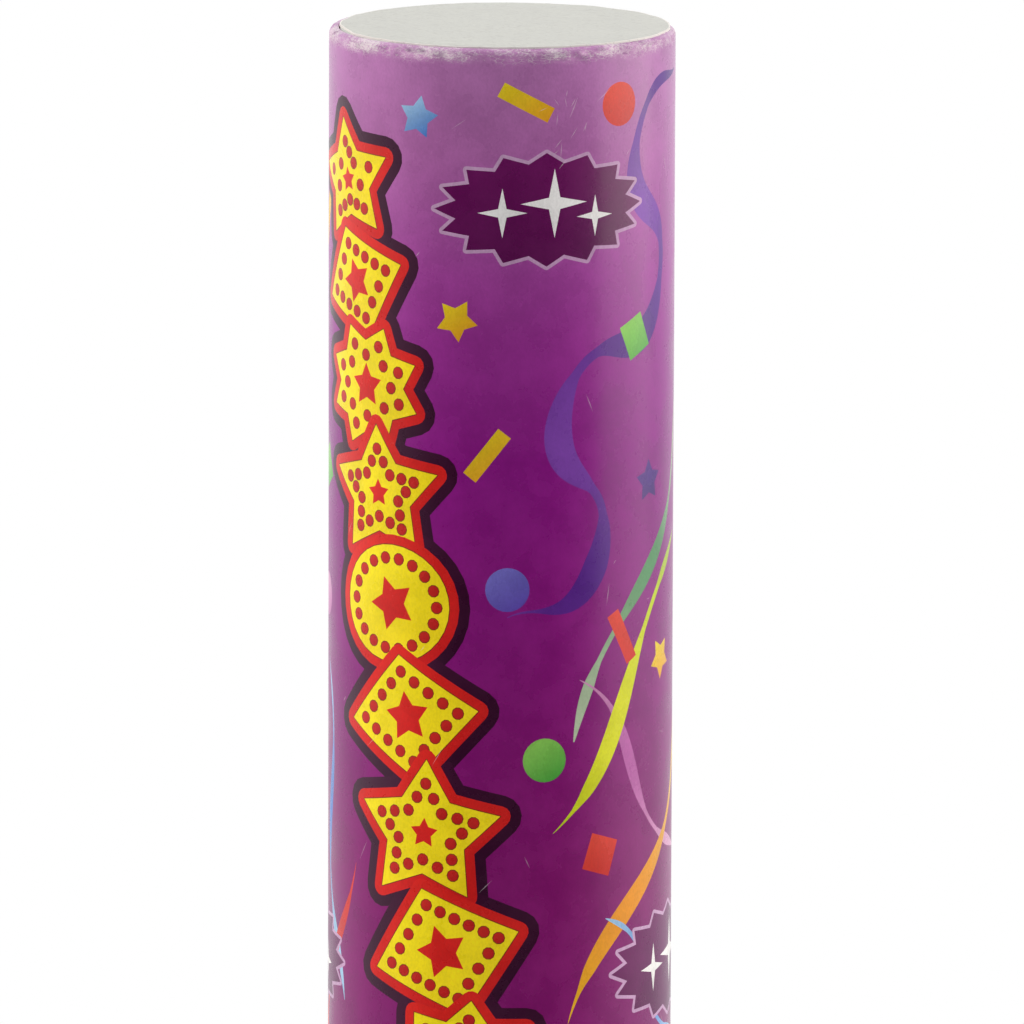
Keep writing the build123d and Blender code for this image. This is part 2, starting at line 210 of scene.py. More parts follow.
def finer(outline: Sequence[Vector], longest: float) -> Outline:
    """Adds points to an outline so that no side is longer than a length.

    Args:
        outline: Corners in order.
        longest: The longest side that is left.

    Returns:
        The corners with the added points.
    """
    added: Outline = []
    for index, corner in enumerate(outline):
        side = outline[(index + 1) % len(outline)] - corner
        count = max(1, math.ceil(side.length / longest))
        added += [corner + side * (step / count) for step in range(count)]
    return added


def encloses(outline: Sequence[Vector], places: np.ndarray) -> np.ndarray:
    """Tells which places lie inside an outline, by how often a line to the right of each crosses it.

    Args:
        outline: Corners in order.
        places: One place a row.

    Returns:
        A truth value for each place.
    """
    x, y = places.T
    inside = np.zeros(len(places), dtype=bool)
    for index, corner in enumerate(outline):
        before = outline[index - 1]
        if before.y != corner.y:
            reach = before.x + (y - before.y) * (corner.x - before.x) / (corner.y - before.y)
            inside ^= ((before.y > y) != (corner.y > y)) & (x < reach)
    return inside


def placed(outline: Outline, place: Vector, turn: float = 0.0, stretch: float = 1.0) -> Outline:
    """Turns an outline, stretches it sideways and moves it to its place on the sheet."""
    spin = Matrix.Rotation(turn, 2)
    return [place + Vector(((spin @ corner).x * stretch, (spin @ corner).y)) for corner in outline]


def along(path: Sequence[Vector], spacing: float) -> Iterator[Vector]:
    """Walks along a path.

    Args:
        path: Its points in order.
        spacing: About how far apart the places are.

    Yields:
        Evenly spaced places, with the path's first point among them and its last one not.
    """
    lengths = [(after - before).length for before, after in zip(path, path[1:])]
    step = sum(lengths) / max(1, round(sum(lengths) / spacing))
    reach = walked = 0.0
    for before, after, length in zip(path, path[1:], lengths):
        while reach < walked + length - 1e-6:
            yield before.lerp(after, (reach - walked) / length)
            reach += step
        walked += length


def runs(outline: Outline, sharp: float) -> list[Outline]:
    """Splits a closed outline at its sharp corners.

    Args:
        outline: Corners in order.
        sharp: The least angle that a sharp corner turns through.

    Returns:
        The stretches from each sharp corner to the next. A smooth outline is one stretch.
    """
    count = len(outline)
    sides = [outline[(index + 1) % count] - corner for index, corner in enumerate(outline)]
    cuts = [index for index in range(count) if sides[index - 1].angle(sides[index], 0.0) > sharp] or [0]
    ends = [*cuts[1:], cuts[0] + count]
    return [[outline[index % count] for index in range(cut, end + 1)] for cut, end in zip(cuts, ends)]


def shaded(outline: Outline, ink: Ink, slant: float = 0.6) -> Patch:
    """Inks an outline, shaded across it from its upper left.

    Args:
        outline: Corners in order.
        ink: The ink.
        slant: How far the shading leans to the right.

    Returns:
        The patch.
    """
    middle = sum(outline, Vector((0.0, 0.0))) / len(outline)
    reach = max((corner - middle).length for corner in outline)
    line = Vector((slant, -1.0)).normalized() * reach
    return Patch(tuple(outline), middle - line, middle + line, *ink.value)


class Scrap(Enum):
    """Kinds of printed confetti: an oblong's sides, or a toothed outline's points and reaches.

    Sizes are in millimetres.
    """

    STRIP = (2.3, 8.2)
    STAR = (5, 3.2, 1.75)
    SQUARE = (4.8, 5.4)
    DOT = (28, 3.2, 0.0)

    def outline(self) -> Outline:
        """Returns this kind's outline about the origin."""
        return oblong(*self.value) if self in (Scrap.STRIP, Scrap.SQUARE) else toothed(*self.value)


@dataclass(frozen=True)
class Confetto:
    """One printed scrap of confetti.

    across is the distance round the tube from the middle of the front, and height the level over the foot.
    """

    kind: Scrap
    ink: Ink
    across: float
    height: float
    turn: float = 0.0

    def patches(self, shift: float) -> list[Patch]:
        """Returns the scrap's patches, with its place shifted round the tube."""
        place = Vector((self.across + shift, self.height))
        return [shaded(placed(self.kind.outline(), place, math.radians(self.turn)), self.ink)]


@dataclass(frozen=True)
class Streamer:
    """One printed ribbon, which sways about a straight line and twists as it falls.

    Sizes are in millimetres. The start and the end are places as a scrap of confetti has.
    """

    ink: Ink
    start: Pair
    end: Pair
    width: float
    sway: float
    sways: float
    twists: float
    phase: float = 0.0
    curl: float = 0.0
    step: float = 0.7
    thinnest_share: float = 0.32
    tip_share: float = 0.05
    taper_rate: float = 6.0
    finest_share: float = 0.002
    nudge_share: float = 0.001

    def middle(self, share: float) -> Vector:
        """Finds the ribbon's middle.

        Args:
            share: Share of its course, from 0 to 1.

        Returns:
            The place on the sheet.
        """
        start, end = Vector(self.start), Vector(self.end)
        line = end - start
        ahead = line.normalized()
        swing = 2 * math.pi * self.sways * share + self.phase
        bow = Vector((-ahead.y, ahead.x)) * (self.sway * math.sin(swing))
        return start + line * share + bow - ahead * (self.curl * math.sin(2 * swing))

    def course(self) -> list[float]:
        """Divides the ribbon evenly.

        Returns:
            Shares of the course, about a step apart.
        """
        picked = [0.0]
        for share in spaced(0.0, 1.0, self.finest_share):
            if (self.middle(share) - self.middle(picked[-1])).length >= self.step:
                picked.append(share)
        return picked

    def patches(self, shift: float) -> list[Patch]:
        """Cuts the ribbon into short shaded lengths.

        Args:
            shift: Distance that its place is shifted round the tube.

        Returns:
            A patch for each length.
        """
        pairs: list[tuple[Vector, Vector, Vector, Colour]] = []
        for share in self.course():
            ahead, behind = self.middle(share + self.nudge_share), self.middle(share - self.nudge_share)
            heading = (ahead - behind).normalized()
            across = Vector((-heading.y, heading.x))
            face = math.cos(2 * math.pi * self.twists * share + self.phase)
            taper = min(1.0, self.taper_rate * min(share, 1 - share) + self.tip_share)
            half = self.width / 2 * max(self.thinnest_share, abs(face)) * taper
            tone = between(self.ink.value[1], self.ink.value[0], 0.5 + 0.5 * face)
            centre = self.middle(share) + Vector((shift, 0.0))
            pairs.append((centre - across * half, centre + across * half, centre, tone))
        return [
            Patch((a, d, c, b), here, there, first, last)
            for (a, b, here, first), (d, c, there, last) in zip(pairs, pairs[1:])
        ]


class Ornament(Enum):
    """Kinds of marquee ornament: points, shares of the reach for points, notches and heart, stretch, turn."""

    STAR = (5, 1.0, 0.55, 0.21, 1.0, math.pi / 2)
    LOZENGE = (4, 0.86, 0.0, 0.36, 1.12, 0.0)
    BURST = (8, 0.95, 0.68, 0.34, 1.0, math.pi / 8)
    DISC = (32, 0.84, 0.0, 0.40, 1.0, 0.0)

    def outline(self, reach: float) -> Outline:
        """Outlines this kind about the origin.

        Args:
            reach: Distance from the middle, before the kind's own share of it.

        Returns:
            The corners in order.
        """
        points, point_share, notch_share, _, stretch, turn = self.value
        corners = toothed(points, reach * point_share, reach * notch_share, turn)
        return placed(corners, Vector((0.0, 0.0)), 0.0, stretch)

    def heart_reach(self, reach: float) -> float:
        """Returns the reach of the small star in its middle."""
        return reach * self.value[3]


@dataclass(frozen=True)
class Marquee:
    """A slanting column of bulb-lit ornaments. Sizes are in millimetres."""

    top: Pair = (-27.0, 279.0)
    bottom: Pair = (1.0, 112.0)
    order: tuple[Ornament, ...] = (
        Ornament.STAR, Ornament.LOZENGE, Ornament.BURST, Ornament.STAR, Ornament.DISC, Ornament.LOZENGE,
    )
    pitch: float = 14.6
    reach: float = 9.0
    growth: float = 0.033
    tilt: float = 0.22
    tilt_rate: float = 1.9
    border: float = 1.5
    shadow: float = 1.6
    keyline: float = 0.14
    bulb: float = 0.80
    bulb_sides: int = 10
    bulb_spacing: float = 2.5
    bulb_inset: float = 1.9
    heart_notch_share: float = 0.53
    sharp: float = 0.4
    stretch: float = 1.1

    def bulb_places(self, face: Outline) -> Outline:
        """Returns the middles of an ornament's bulbs: one at each sharp corner, the rest evenly between."""
        stretches = runs(grown(face, -self.bulb_inset), self.sharp)
        return [spot for stretch in stretches for spot in along(stretch, self.bulb_spacing)]

    def patches(self, shift: float) -> list[Patch]:
        """Inks the column.

        Args:
            shift: Distance that its place is shifted round the tube.

        Returns:
            Its patches in paint order.
        """
        top = Vector((self.top[0] + shift, self.top[1]))
        line = Vector((self.bottom[0] + shift, self.bottom[1])) - top
        lean = math.atan2(line.x, -line.y)
        shadows: list[Patch] = []
        faces: list[Patch] = []
        index, walked, size = 0, 0.0, 1.0
        while walked < line.length:
            kind, reach = self.order[index % len(self.order)], self.reach * size
            place = top + line.normalized() * walked
            turn = lean + self.tilt * math.sin(self.tilt_rate * index)
            face = placed(kind.outline(reach), place, turn, self.stretch)
            shadows.append(shaded(grown(face, self.border + self.shadow), Ink.PLUM))
            for margin, ink in ((self.border, Ink.SCARLET), (self.keyline, Ink.KEYLINE)):
                faces.append(shaded(grown(face, margin), ink))
            faces.append(shaded(face, Ink.YELLOW))
            for spot in self.bulb_places(face):
                for radius, ink in ((self.bulb + self.keyline, Ink.KEYLINE), (self.bulb, Ink.BULB)):
                    faces.append(shaded(placed(toothed(self.bulb_sides, radius, 0.0), spot), ink))
            heart_reach = kind.heart_reach(reach)
            heart = toothed(5, heart_reach, heart_reach * self.heart_notch_share, math.pi / 2)
            faces.append(shaded(placed(heart, place, turn), Ink.SCARLET))
            walked += self.pitch * size
            size += self.growth
            index += 1
        return shadows + faces


@dataclass(frozen=True)
class Badge:
    """A dark stretched burst with a pale line round it and sparkles in it.

    Sizes are in millimetres. Each sparkle has its place in the badge and its reach.
    """

    across: float
    height: float
    reach: float = 8.2
    points: int = 16
    notch_share: float = 0.82
    stretch: float = 2.0
    edge: float = 0.5
    sparkles: tuple[Triple, ...] = ((-6.4, -0.4, 3.6), (1.2, 0.9, 5.0), (7.6, -1.2, 3.0))
    sparkle_notch_share: float = 0.24

    def patches(self, shift: float) -> list[Patch]:
        """Inks the badge.

        Args:
            shift: Distance that its place is shifted round the tube.

        Returns:
            Its patches in paint order.
        """
        place = Vector((self.across + shift, self.height))
        burst = toothed(self.points, self.reach, self.reach * self.notch_share)
        burst = placed(burst, place, 0.0, self.stretch)
        found = [shaded(grown(burst, self.edge), Ink.LILAC), shaded(burst, Ink.BADGE, 0.0)]
        for sideways, up, size in self.sparkles:
            sparkle = toothed(4, size, size * self.sparkle_notch_share, math.pi / 2)
            found.append(shaded(placed(sparkle, place + Vector((sideways, up))), Ink.WHITE))
        return found


class PartyPrint:
    """The layout of the printed sheet, which repeats twice round the tube."""

    streamers: tuple[Streamer, ...] = (
        Streamer(Ink.VIOLET, (33.0, 297.0), (4.0, 214.0), 4.4, 6.5, 2.2, 2.4, 2.6, 2.0),
        Streamer(Ink.SAGE, (37.0, 246.0), (12.0, 198.0), 2.6, 3.0, 0.9, 1.0, 0.2),
        Streamer(Ink.PINK, (10.0, 206.0), (38.0, 179.0), 2.2, 3.4, 0.9, 0.9, 0.9),
        Streamer(Ink.LIME, (37.0, 226.0), (6.0, 187.0), 3.0, 2.8, 0.8, 0.7, 3.5),
        Streamer(Ink.ORANGE, (38.0, 201.0), (12.5, 156.0), 3.2, 3.6, 0.8, 0.7, 0.4),
        Streamer(Ink.SKY, (16.0, 172.0), (38.0, 150.0), 2.2, 2.2, 1.1, 1.0, 0.3),
        Streamer(Ink.SKY, (-36.0, 208.0), (-30.0, 158.0), 2.0, 2.2, 1.2, 1.1, 0.2),
        Streamer(Ink.CORAL, (-26.0, 180.0), (-38.0, 146.0), 2.0, 1.8, 0.8, 0.9, 1.1),
        Streamer(Ink.LIME, (-33.0, 150.0), (-24.0, 104.0), 2.6, 2.8, 1.1, 1.0, 0.5),
        Streamer(Ink.VIOLET, (31.0, 148.0), (12.0, 100.0), 3.6, 4.5, 1.6, 1.6, 1.6, 1.6),
        Streamer(Ink.ORANGE, (24.0, 146.0), (37.0, 102.0), 2.6, 2.4, 1.0, 0.9, 0.0),
    )
    scraps: tuple[Confetto, ...] = (
        Confetto(Scrap.STAR, Ink.SKY, -12.5, 289.5, 8.0),
        Confetto(Scrap.STRIP, Ink.GOLD, 3.5, 292.0, 62.0),
        Confetto(Scrap.DOT, Ink.CORAL, 18.5, 291.0),
        Confetto(Scrap.STAR, Ink.GOLD, -6.5, 260.5, -12.0),
        Confetto(Scrap.SQUARE, Ink.LEAF, 22.0, 257.0, 24.0),
        Confetto(Scrap.STRIP, Ink.GOLD, -2.0, 241.0, -38.0),
        Confetto(Scrap.STAR, Ink.INDIGO, 25.5, 235.5, 20.0),
        Confetto(Scrap.DOT, Ink.COBALT, 1.0, 221.5),
        Confetto(Scrap.STRIP, Ink.CORAL, 19.5, 213.5, 28.0),
        Confetto(Scrap.STAR, Ink.GOLD, 29.5, 209.0, -20.0),
        Confetto(Scrap.DOT, Ink.LEAF, 6.5, 196.5),
        Confetto(Scrap.SQUARE, Ink.CORAL, 15.5, 182.0, -18.0),
        Confetto(Scrap.SQUARE, Ink.LEAF, -36.5, 236.0, 30.0),
        Confetto(Scrap.STRIP, Ink.ORANGE, -37.0, 272.0, -24.0),
        Confetto(Scrap.DOT, Ink.PINK, -37.0, 217.0),
        Confetto(Scrap.STAR, Ink.SKY, 30.0, 135.0, 15.0),
        Confetto(Scrap.STRIP, Ink.GOLD, 19.0, 134.0, 35.0),
        Confetto(Scrap.DOT, Ink.CORAL, -31.0, 128.0),
        Confetto(Scrap.STAR, Ink.GOLD, -19.0, 118.0, 5.0),
        Confetto(Scrap.SQUARE, Ink.SKY, 26.0, 112.0, 25.0),
    )
    badges: tuple[Badge, ...] = (Badge(6.5, 276.5), Badge(34.0, 164.0))
    marquees: tuple[Marquee, ...] = (Marquee(),)

    def patches(self, repeat: float) -> list[Patch]:
        """Returns every patch of the sheet in paint order.

        Args:
            repeat: Distance round the tube after which the layout repeats.

        Returns:
            The patches, lowest first.
        """
        found: list[Patch] = []
        for shift in (0.0, repeat):
            for layer in (self.streamers, self.scraps, self.badges, self.marquees):
                for motif in layer:
                    found += motif.patches(shift)
        return found


class GripPrint(PartyPrint):
    """The grip's part of the sheet: the same ground, with ribbons and scraps alone."""

    streamers = (
        Streamer(Ink.VIOLET, (-30.0, 88.0), (-6.0, 12.0), 3.8, 4.0, 1.6, 1.6, 0.7, 1.8),
        Streamer(Ink.LIME, (8.0, 84.0), (24.0, 14.0), 2.6, 3.2, 1.1, 1.0, 1.3),
        Streamer(Ink.PINK, (36.0, 86.0), (30.0, 20.0), 2.2, 2.4, 1.0, 0.9, 0.2),
    )
    scraps = (
        Confetto(Scrap.STAR, Ink.GOLD, -2.0, 72.0, 10.0),
        Confetto(Scrap.DOT, Ink.COBALT, -20.0, 52.0),
        Confetto(Scrap.STRIP, Ink.GOLD, 3.0, 40.0, -25.0),
        Confetto(Scrap.DOT, Ink.CORAL, 27.0, 58.0),
        Confetto(Scrap.SQUARE, Ink.LEAF, -29.0, 27.0, 20.0),
        Confetto(Scrap.STAR, Ink.SKY, 12.0, 18.0, -12.0),
        Confetto(Scrap.STAR, Ink.INDIGO, 20.0, 78.0, 14.0),
    )
    badges = ()
    marquees = ()


class Bench:
    """Adds and links the nodes of one tree."""

    def __init__(self, tree: Tree) -> None:
        """Keeps the tree."""
        self.tree = tree

    def feed(self, node: Node, inputs: dict[str | int, object]) -> None:
        """Links or sets a node's inputs.

        Args:
            node: The node.
            inputs: Input names with the sockets to link or the plain values to set.
        """
        for name, value in inputs.items():
            if isinstance(value, Socket):
                self.tree.links.new(value, node.inputs[name])
            else:
                node.inputs[name].default_value = value

    def add(self, kind: str, inputs: dict[str | int, object] | None = None, **settings: object) -> Node:
        """Adds a node.

        Args:
            kind: Blender's name of the node type.
            inputs: Input names with the sockets to link or the plain values to set.
            **settings: Attributes of the node, which are set first.

        Returns:
            The new node.
        """
        node = self.tree.nodes.new(kind)
        for name, value in settings.items():
            setattr(node, name, value)
        self.feed(node, inputs or {})
        return node

    def math(self, operation: str, first: object, second: object = 0.0, clamp: bool = False) -> Socket:
        """Returns the result of a Math node."""
        node = self.add("ShaderNodeMath", {0: first, 1: second}, operation=operation, use_clamp=clamp)
        return node.outputs[0]

    def ease(
        self, value: Socket, low: float, high: float, to_low: float = 0.0, to_high: float = 1.0
    ) -> Socket:
        """Returns a value eased from one range to another."""
        values = {"Value": value, "From Min": low, "From Max": high, "To Min": to_low, "To Max": to_high}
        return self.add("ShaderNodeMapRange", values, interpolation_type="SMOOTHSTEP").outputs[0]

    def mix(self, share: object, first: object, second: object, blend: str = "MIX") -> Socket:
        """Mixes two colours.

        Args:
            share: Share of the second one.
            first: The first colour.
            second: The second colour.
            blend: Blender's name of the way to mix them.

        Returns:
            The mixed colour.
        """
        values = {"Factor": share, 6: first, 7: second}
        node = self.add("ShaderNodeMix", values, data_type="RGBA", blend_type=blend)
        return node.outputs[2]

    def noise(self, place: Socket, scale: float, detail: float = 3.0, roughness: float = 0.55) -> Socket:
        """Returns the value of a Noise texture."""
        values = {"Vector": place, "Scale": scale, "Detail": detail, "Roughness": roughness}
        return self.add("ShaderNodeTexNoise", values).outputs[0]

    def mapped(self, place: Socket, **values: Triple) -> Socket:
        """Returns a place turned or scaled by a Mapping node."""
        return self.add("ShaderNodeMapping", {"Vector": place, **values}).outputs[0]

    def millimetres(self) -> Socket:
        """Measures the surface.

        Returns:
            The surface's own coordinates in millimetres.
        """
        own = self.add("ShaderNodeTexCoord").outputs["Object"]
        values = {0: own, "Scale": 1.0 / MM}
        return self.add("ShaderNodeVectorMath", values, operation="SCALE").outputs[0]

    def layer(self, name: str) -> Node:
        """Adds the node that reads one of the mesh's attributes."""
        return self.add("ShaderNodeAttribute", attribute_name=name)

    def effect(self, tree: Tree, place: Socket, **values: float) -> Node:
        """Adds a shared effect with its own values, named as its inputs with underscores for spaces."""
        inputs = {label.replace("_", " "): value for label, value in values.items()}
        return self.add("ShaderNodeGroup", {"Place": place, **inputs}, node_tree=tree)

    def bump(self, height: Socket, depth: float, strength: float) -> Socket:
        """Returns the normal of a bump whose depth is in metres."""
        values = {"Height": height, "Distance": depth, "Strength": strength}
        return self.add("ShaderNodeBump", values).outputs[0]

    def ramp(self, value: Socket, stops: Sequence[tuple[float, Colour]]) -> Socket:
        """Colours a value by a ramp.

        Args:
            value: The value, from 0 to 1.
            stops: The ramp's places with their colours, in order.

        Returns:
            The colour.
        """
        node = self.add("ShaderNodeValToRGB", {0: value})
        while len(node.color_ramp.elements) < len(stops):
            node.color_ramp.elements.new(1.0)
        for element, (place, colour) in zip(node.color_ramp.elements, stops):
            element.position = place
            element.color = opaque(colour)
        return node.outputs[0]


class SharedEffects:
    """Shader groups that several finishes use. Each is built once. Scales are per millimetre."""

    fibre_stretch: Triple = (1.0, 1.0, 0.65)
    mottle_scale: float = 0.16
    scratch_lines: tuple[Pair, ...] = ((0.5, 2.4), (-0.9, 1.8))
    scratch_stretch: Triple = (1.0, 1.0, 0.03)
    scratch_band: Pair = (0.70, 0.76)
    flow_scale: float = 0.12
    stain_scale: float = 0.2

    def __init__(self) -> None:
        """Builds the groups."""
        self.fibre = self._fibre()
        self.scuffs = self._scuffs()
        self.grain = self._grain()
        self.turning = self._turning()

    @staticmethod
    def _start(name: str, inputs: dict[str, float], outputs: Sequence[str]) -> tuple[Bench, Node, Node]:
        """Makes an empty group.

        Args:
            name: The group's name.
            inputs: Value inputs with their defaults. A Place vector comes first.
            outputs: Names of the value outputs.

        Returns:
            The group's bench, its input node and its output node.
        """
        tree = bpy.data.node_groups.new(name, "ShaderNodeTree")
        tree.interface.new_socket("Place", in_out="INPUT", socket_type="NodeSocketVector")
        for label, value in inputs.items():
            socket = tree.interface.new_socket(label, in_out="INPUT", socket_type="NodeSocketFloat")
            socket.default_value = value
        for label in outputs:
            tree.interface.new_socket(label, in_out="OUTPUT", socket_type="NodeSocketFloat")
        bench = Bench(tree)
        return bench, bench.add("NodeGroupInput"), bench.add("NodeGroupOutput")

    def _fibre(self) -> Tree:
        """Paper: soft mottling, and fine fibres that lie mostly one way.

        Returns:
            The group.
        """
        bench, given, result = self._start("Paper fibre", {"Fibre size": 0.25}, ("Mottle", "Fibres"))
        place = given.outputs["Place"]
        stretched = bench.mapped(place, Scale=self.fibre_stretch)
        scale = bench.math("DIVIDE", 1.0, given.outputs["Fibre size"])
        values = {"Vector": stretched, "Scale": scale, "Detail": 4.0}
        fibres = bench.add("ShaderNodeTexNoise", values).outputs[0]
        bench.feed(result, {"Mottle": bench.noise(place, self.mottle_scale, 5.0, 0.6), "Fibres": fibres})
        return bench.tree

    def _scuffs(self) -> Tree:
        """Handling marks: sparse fine scratches in two directions.

        Returns:
            The group.
        """
        bench, given, result = self._start("Scuffs", {"Amount": 0.5}, ("Scratches",))
        masks: list[Socket] = []
        for slant, scale in self.scratch_lines:
            turned = bench.mapped(given.outputs["Place"], Rotation=(slant, slant, 0.0))
            line = bench.noise(bench.mapped(turned, Scale=self.scratch_stretch), scale, 0.0)
            masks.append(bench.ease(line, *self.scratch_band))
        both = bench.math("MAXIMUM", *masks)
        bench.feed(result, {"Scratches": bench.math("MULTIPLY", both, given.outputs["Amount"])})
        return bench.tree

    def _grain(self) -> Tree:
        """Moulded plastic and rubber: a fine even grain and faint flow marks.

        Returns:
            The group.
        """
        bench, given, result = self._start("Moulded grain", {"Grain size": 0.3}, ("Grain", "Flow"))
        place = given.outputs["Place"]
        scale = bench.math("DIVIDE", 1.0, given.outputs["Grain size"])
        cells = bench.add("ShaderNodeTexVoronoi", {"Vector": place, "Scale": scale}).outputs["Distance"]
        bench.feed(result, {"Grain": cells, "Flow": bench.noise(place, self.flow_scale, 4.0)})
        return bench.tree

    def _turning(self) -> Tree:
        """Turned or drawn metal: fine rings round the tube's axis, and stains.

        Returns:
            The group.
        """
        bench, given, result = self._start("Turning marks", {"Ring pitch": 0.2}, ("Rings", "Stain"))
        place = given.outputs["Place"]
        level = bench.add("ShaderNodeSeparateXYZ", {0: place}).outputs[2]
        rise = bench.math("DIVIDE", level, given.outputs["Ring pitch"])
        rings = bench.noise(bench.add("ShaderNodeCombineXYZ", {0: rise}).outputs[0], 1.0, 2.0)
        bench.feed(result, {"Rings": rings, "Stain": bench.noise(place, self.stain_scale, 4.0)})
        return bench.tree


EFFECTS = SharedEffects()


class Finish:
    """A surface finish that makes one material."""

    @staticmethod
    def start(name: str) -> tuple[Material, Bench, Node, Socket]:
        """Makes an empty material.

        Args:
            name: The material's name.

        Returns:
            The material, its bench, its Principled shader, and the surface's coordinates in millimetres.
        """
        material = bpy.data.materials.new(name)
        material.use_nodes = True
        bench = Bench(material.node_tree)
        return material, bench, material.node_tree.nodes["Principled BSDF"], bench.millimetres()


@dataclass(frozen=True)
class RimWear:
    """Bare fibre on a turned rim: a haze, flecks in it, and cracks along the crease.

    Bands are in millimetres past the crease, scales are per millimetre, and spans are ranges of noise.
    """

    band: Pair = (-1.35, 0.1)
    full_share: float = 0.3
    rub_scale: float = 0.17
    rub_span: Pair = (0.34, 0.66)
    rub_strength: Pair = (0.35, 1.15)
    rubbed_side: Triple = (-0.87, -0.50, 0.0)
    rubbed_reach: Pair = (14.0, 25.0)
    rubbed_more: float = 0.1
    haze_show: float = 0.13
    squash: Triple = (0.65, 0.65, 1.4)
    fleck_scale: float = 3.4
    fleck_detail: Pair = (8.0, 0.80)
    fleck_spread: float = 0.17
    fleck_span: Pair = (0.59, 0.74)
    fleck_show: float = 0.72
    crack_scale: float = 1.7
    crack_width: Pair = (0.01, 0.08)
    crack_band: Pair = (0.3, 1.6)
    crack_show: float = 0.5
    gap_scale: float = 0.6
    gap_span: Pair = (0.45, 0.58)

    def mask(self, bench: Bench, place: Socket, past: Socket) -> Socket:
        """Finds the bare fibre.

        Args:
            bench: The material's bench.
            place: The surface's coordinates in millimetres.
            past: How far it lies past the crease, in millimetres.

        Returns:
            The mask, which is 1 where the fibre is bare.
        """
        band = bench.ease(past, *self.band)
        side = {0: place, 1: self.rubbed_side}
        left = bench.add("ShaderNodeVectorMath", side, operation="DOT_PRODUCT").outputs["Value"]
        rubbed = bench.ease(bench.noise(place, self.rub_scale), *self.rub_span, *self.rub_strength)
        rubbed = bench.math("ADD", rubbed, bench.ease(left, *self.rubbed_reach, 0.0, self.rubbed_more))
        strength = bench.math("MULTIPLY", band, rubbed)
        haze = bench.math("MULTIPLY", strength, self.haze_show)
        flat = bench.mapped(place, Scale=self.squash)
        flecks = bench.noise(flat, self.fleck_scale, *self.fleck_detail)
        flecks = bench.math("ADD", flecks, bench.math("MULTIPLY", strength, self.fleck_spread))
        flecks = bench.ease(flecks, *self.fleck_span, 0.0, self.fleck_show)
        torn = bench.math("MULTIPLY", flecks, bench.ease(band, 0.0, self.full_share))
        values = {"Vector": flat, "Scale": self.crack_scale}
        cells = bench.add("ShaderNodeTexVoronoi", values, feature="DISTANCE_TO_EDGE").outputs[0]
        near = bench.ease(bench.math("ABSOLUTE", past), *self.crack_band, self.crack_show, 0.0)
        cracks = bench.math("MULTIPLY", bench.ease(cells, *self.crack_width, 1.0, 0.0), near)
        gaps = bench.ease(bench.noise(place, self.gap_scale, 2.0), *self.gap_span)
        cracks = bench.math("MULTIPLY", cracks, gaps)
        return bench.math("ADD", bench.math("MAXIMUM", torn, cracks), haze, True)


@dataclass(frozen=True)
class PrintedPaper(Finish):
    """Satin coated paper: a ground that deepens down the tube, inks, and wear to white fibre at the rims.

    The top, the crease and the depth are in metres. wear_up is 1 for a rim at the upper end, -1 at the lower.
    """

    top: float
    crease: float
    wear_up: float = 1.0
    fibre: float = 0.32
    mottling: float = 0.10
    specks: float = 0.06
    coat_roughness: float = 0.27
    coat_unevenness: Pair = (-0.03, 0.05)
    refraction: float = 1.42
    depth: float = 0.00002
    depth_strength: float = 0.4
    scratch_show: float = 0.36
    worn_roughness: float = 0.35
    worn_relief: float = -0.7
    wear: RimWear = RimWear()
    ground: tuple[tuple[float, Colour], ...] = (
        (0.0, (0.200, 0.001, 0.135)),
        (0.60, (0.218, 0.001, 0.148)),
        (0.80, (0.252, 0.002, 0.234)),
        (0.86, (0.302, 0.023, 0.285)),
        (0.89, (0.345, 0.046, 0.328)),
        (0.95, (0.415, 0.126, 0.393)),
        (1.0, (0.445, 0.172, 0.435)),
    )
    bare: Colour = (0.80, 0.73, 0.77)

    def build(self, name: str) -> Material:
        """Builds the material.

        Args:
            name: The material's name.

        Returns:
            The material.
        """
        material, bench, shader, place = self.start(name)
        level = bench.add("ShaderNodeSeparateXYZ", {0: place}).outputs[2]
        ground = bench.ramp(bench.math("DIVIDE", level, self.top / MM), self.ground)
        ink = bench.layer(PRINT_LAYER)
        printed = bench.mix(ink.outputs["Alpha"], ground, ink.outputs["Color"])
        fibre = bench.effect(EFFECTS.fibre, place, Fibre_size=self.fibre)
        mottle, fibres = fibre.outputs["Mottle"], fibre.outputs["Fibres"]
        tone = bench.ease(mottle, *WIDE_NOISE_SPAN, 1 - self.mottling, 1 + self.mottling)
        speck = bench.ease(fibres, *WIDE_NOISE_SPAN, 1 - self.specks, 1 + self.specks)
        shade = bench.math("MULTIPLY", tone, speck)
        grey = bench.add("ShaderNodeCombineColor", {0: shade, 1: shade, 2: shade}).outputs[0]
        toned = bench.mix(1.0, printed, grey, "MULTIPLY")
        past = bench.math("MULTIPLY", bench.math("SUBTRACT", level, self.crease / MM), self.wear_up)
        worn = self.wear.mask(bench, place, past)
        scratched = bench.math("MULTIPLY", bench.layer(BARE_LAYER).outputs["Fac"], self.scratch_show)
        marks = bench.math("MAXIMUM", scratched, worn)
        rough = bench.ease(mottle, *NOISE_SPAN, *self.coat_unevenness)
        rough = bench.math("ADD", rough, self.coat_roughness)
        rough = bench.math("ADD", rough, bench.math("MULTIPLY", worn, self.worn_roughness))
        relief = bench.math("ADD", fibres, bench.math("MULTIPLY", marks, self.worn_relief))
        bench.feed(shader, {
            "Base Color": bench.mix(marks, toned, opaque(self.bare)),
            "Roughness": rough,
            "Normal": bench.bump(relief, self.depth, self.depth_strength),
            "IOR": self.refraction,
        })
        return material


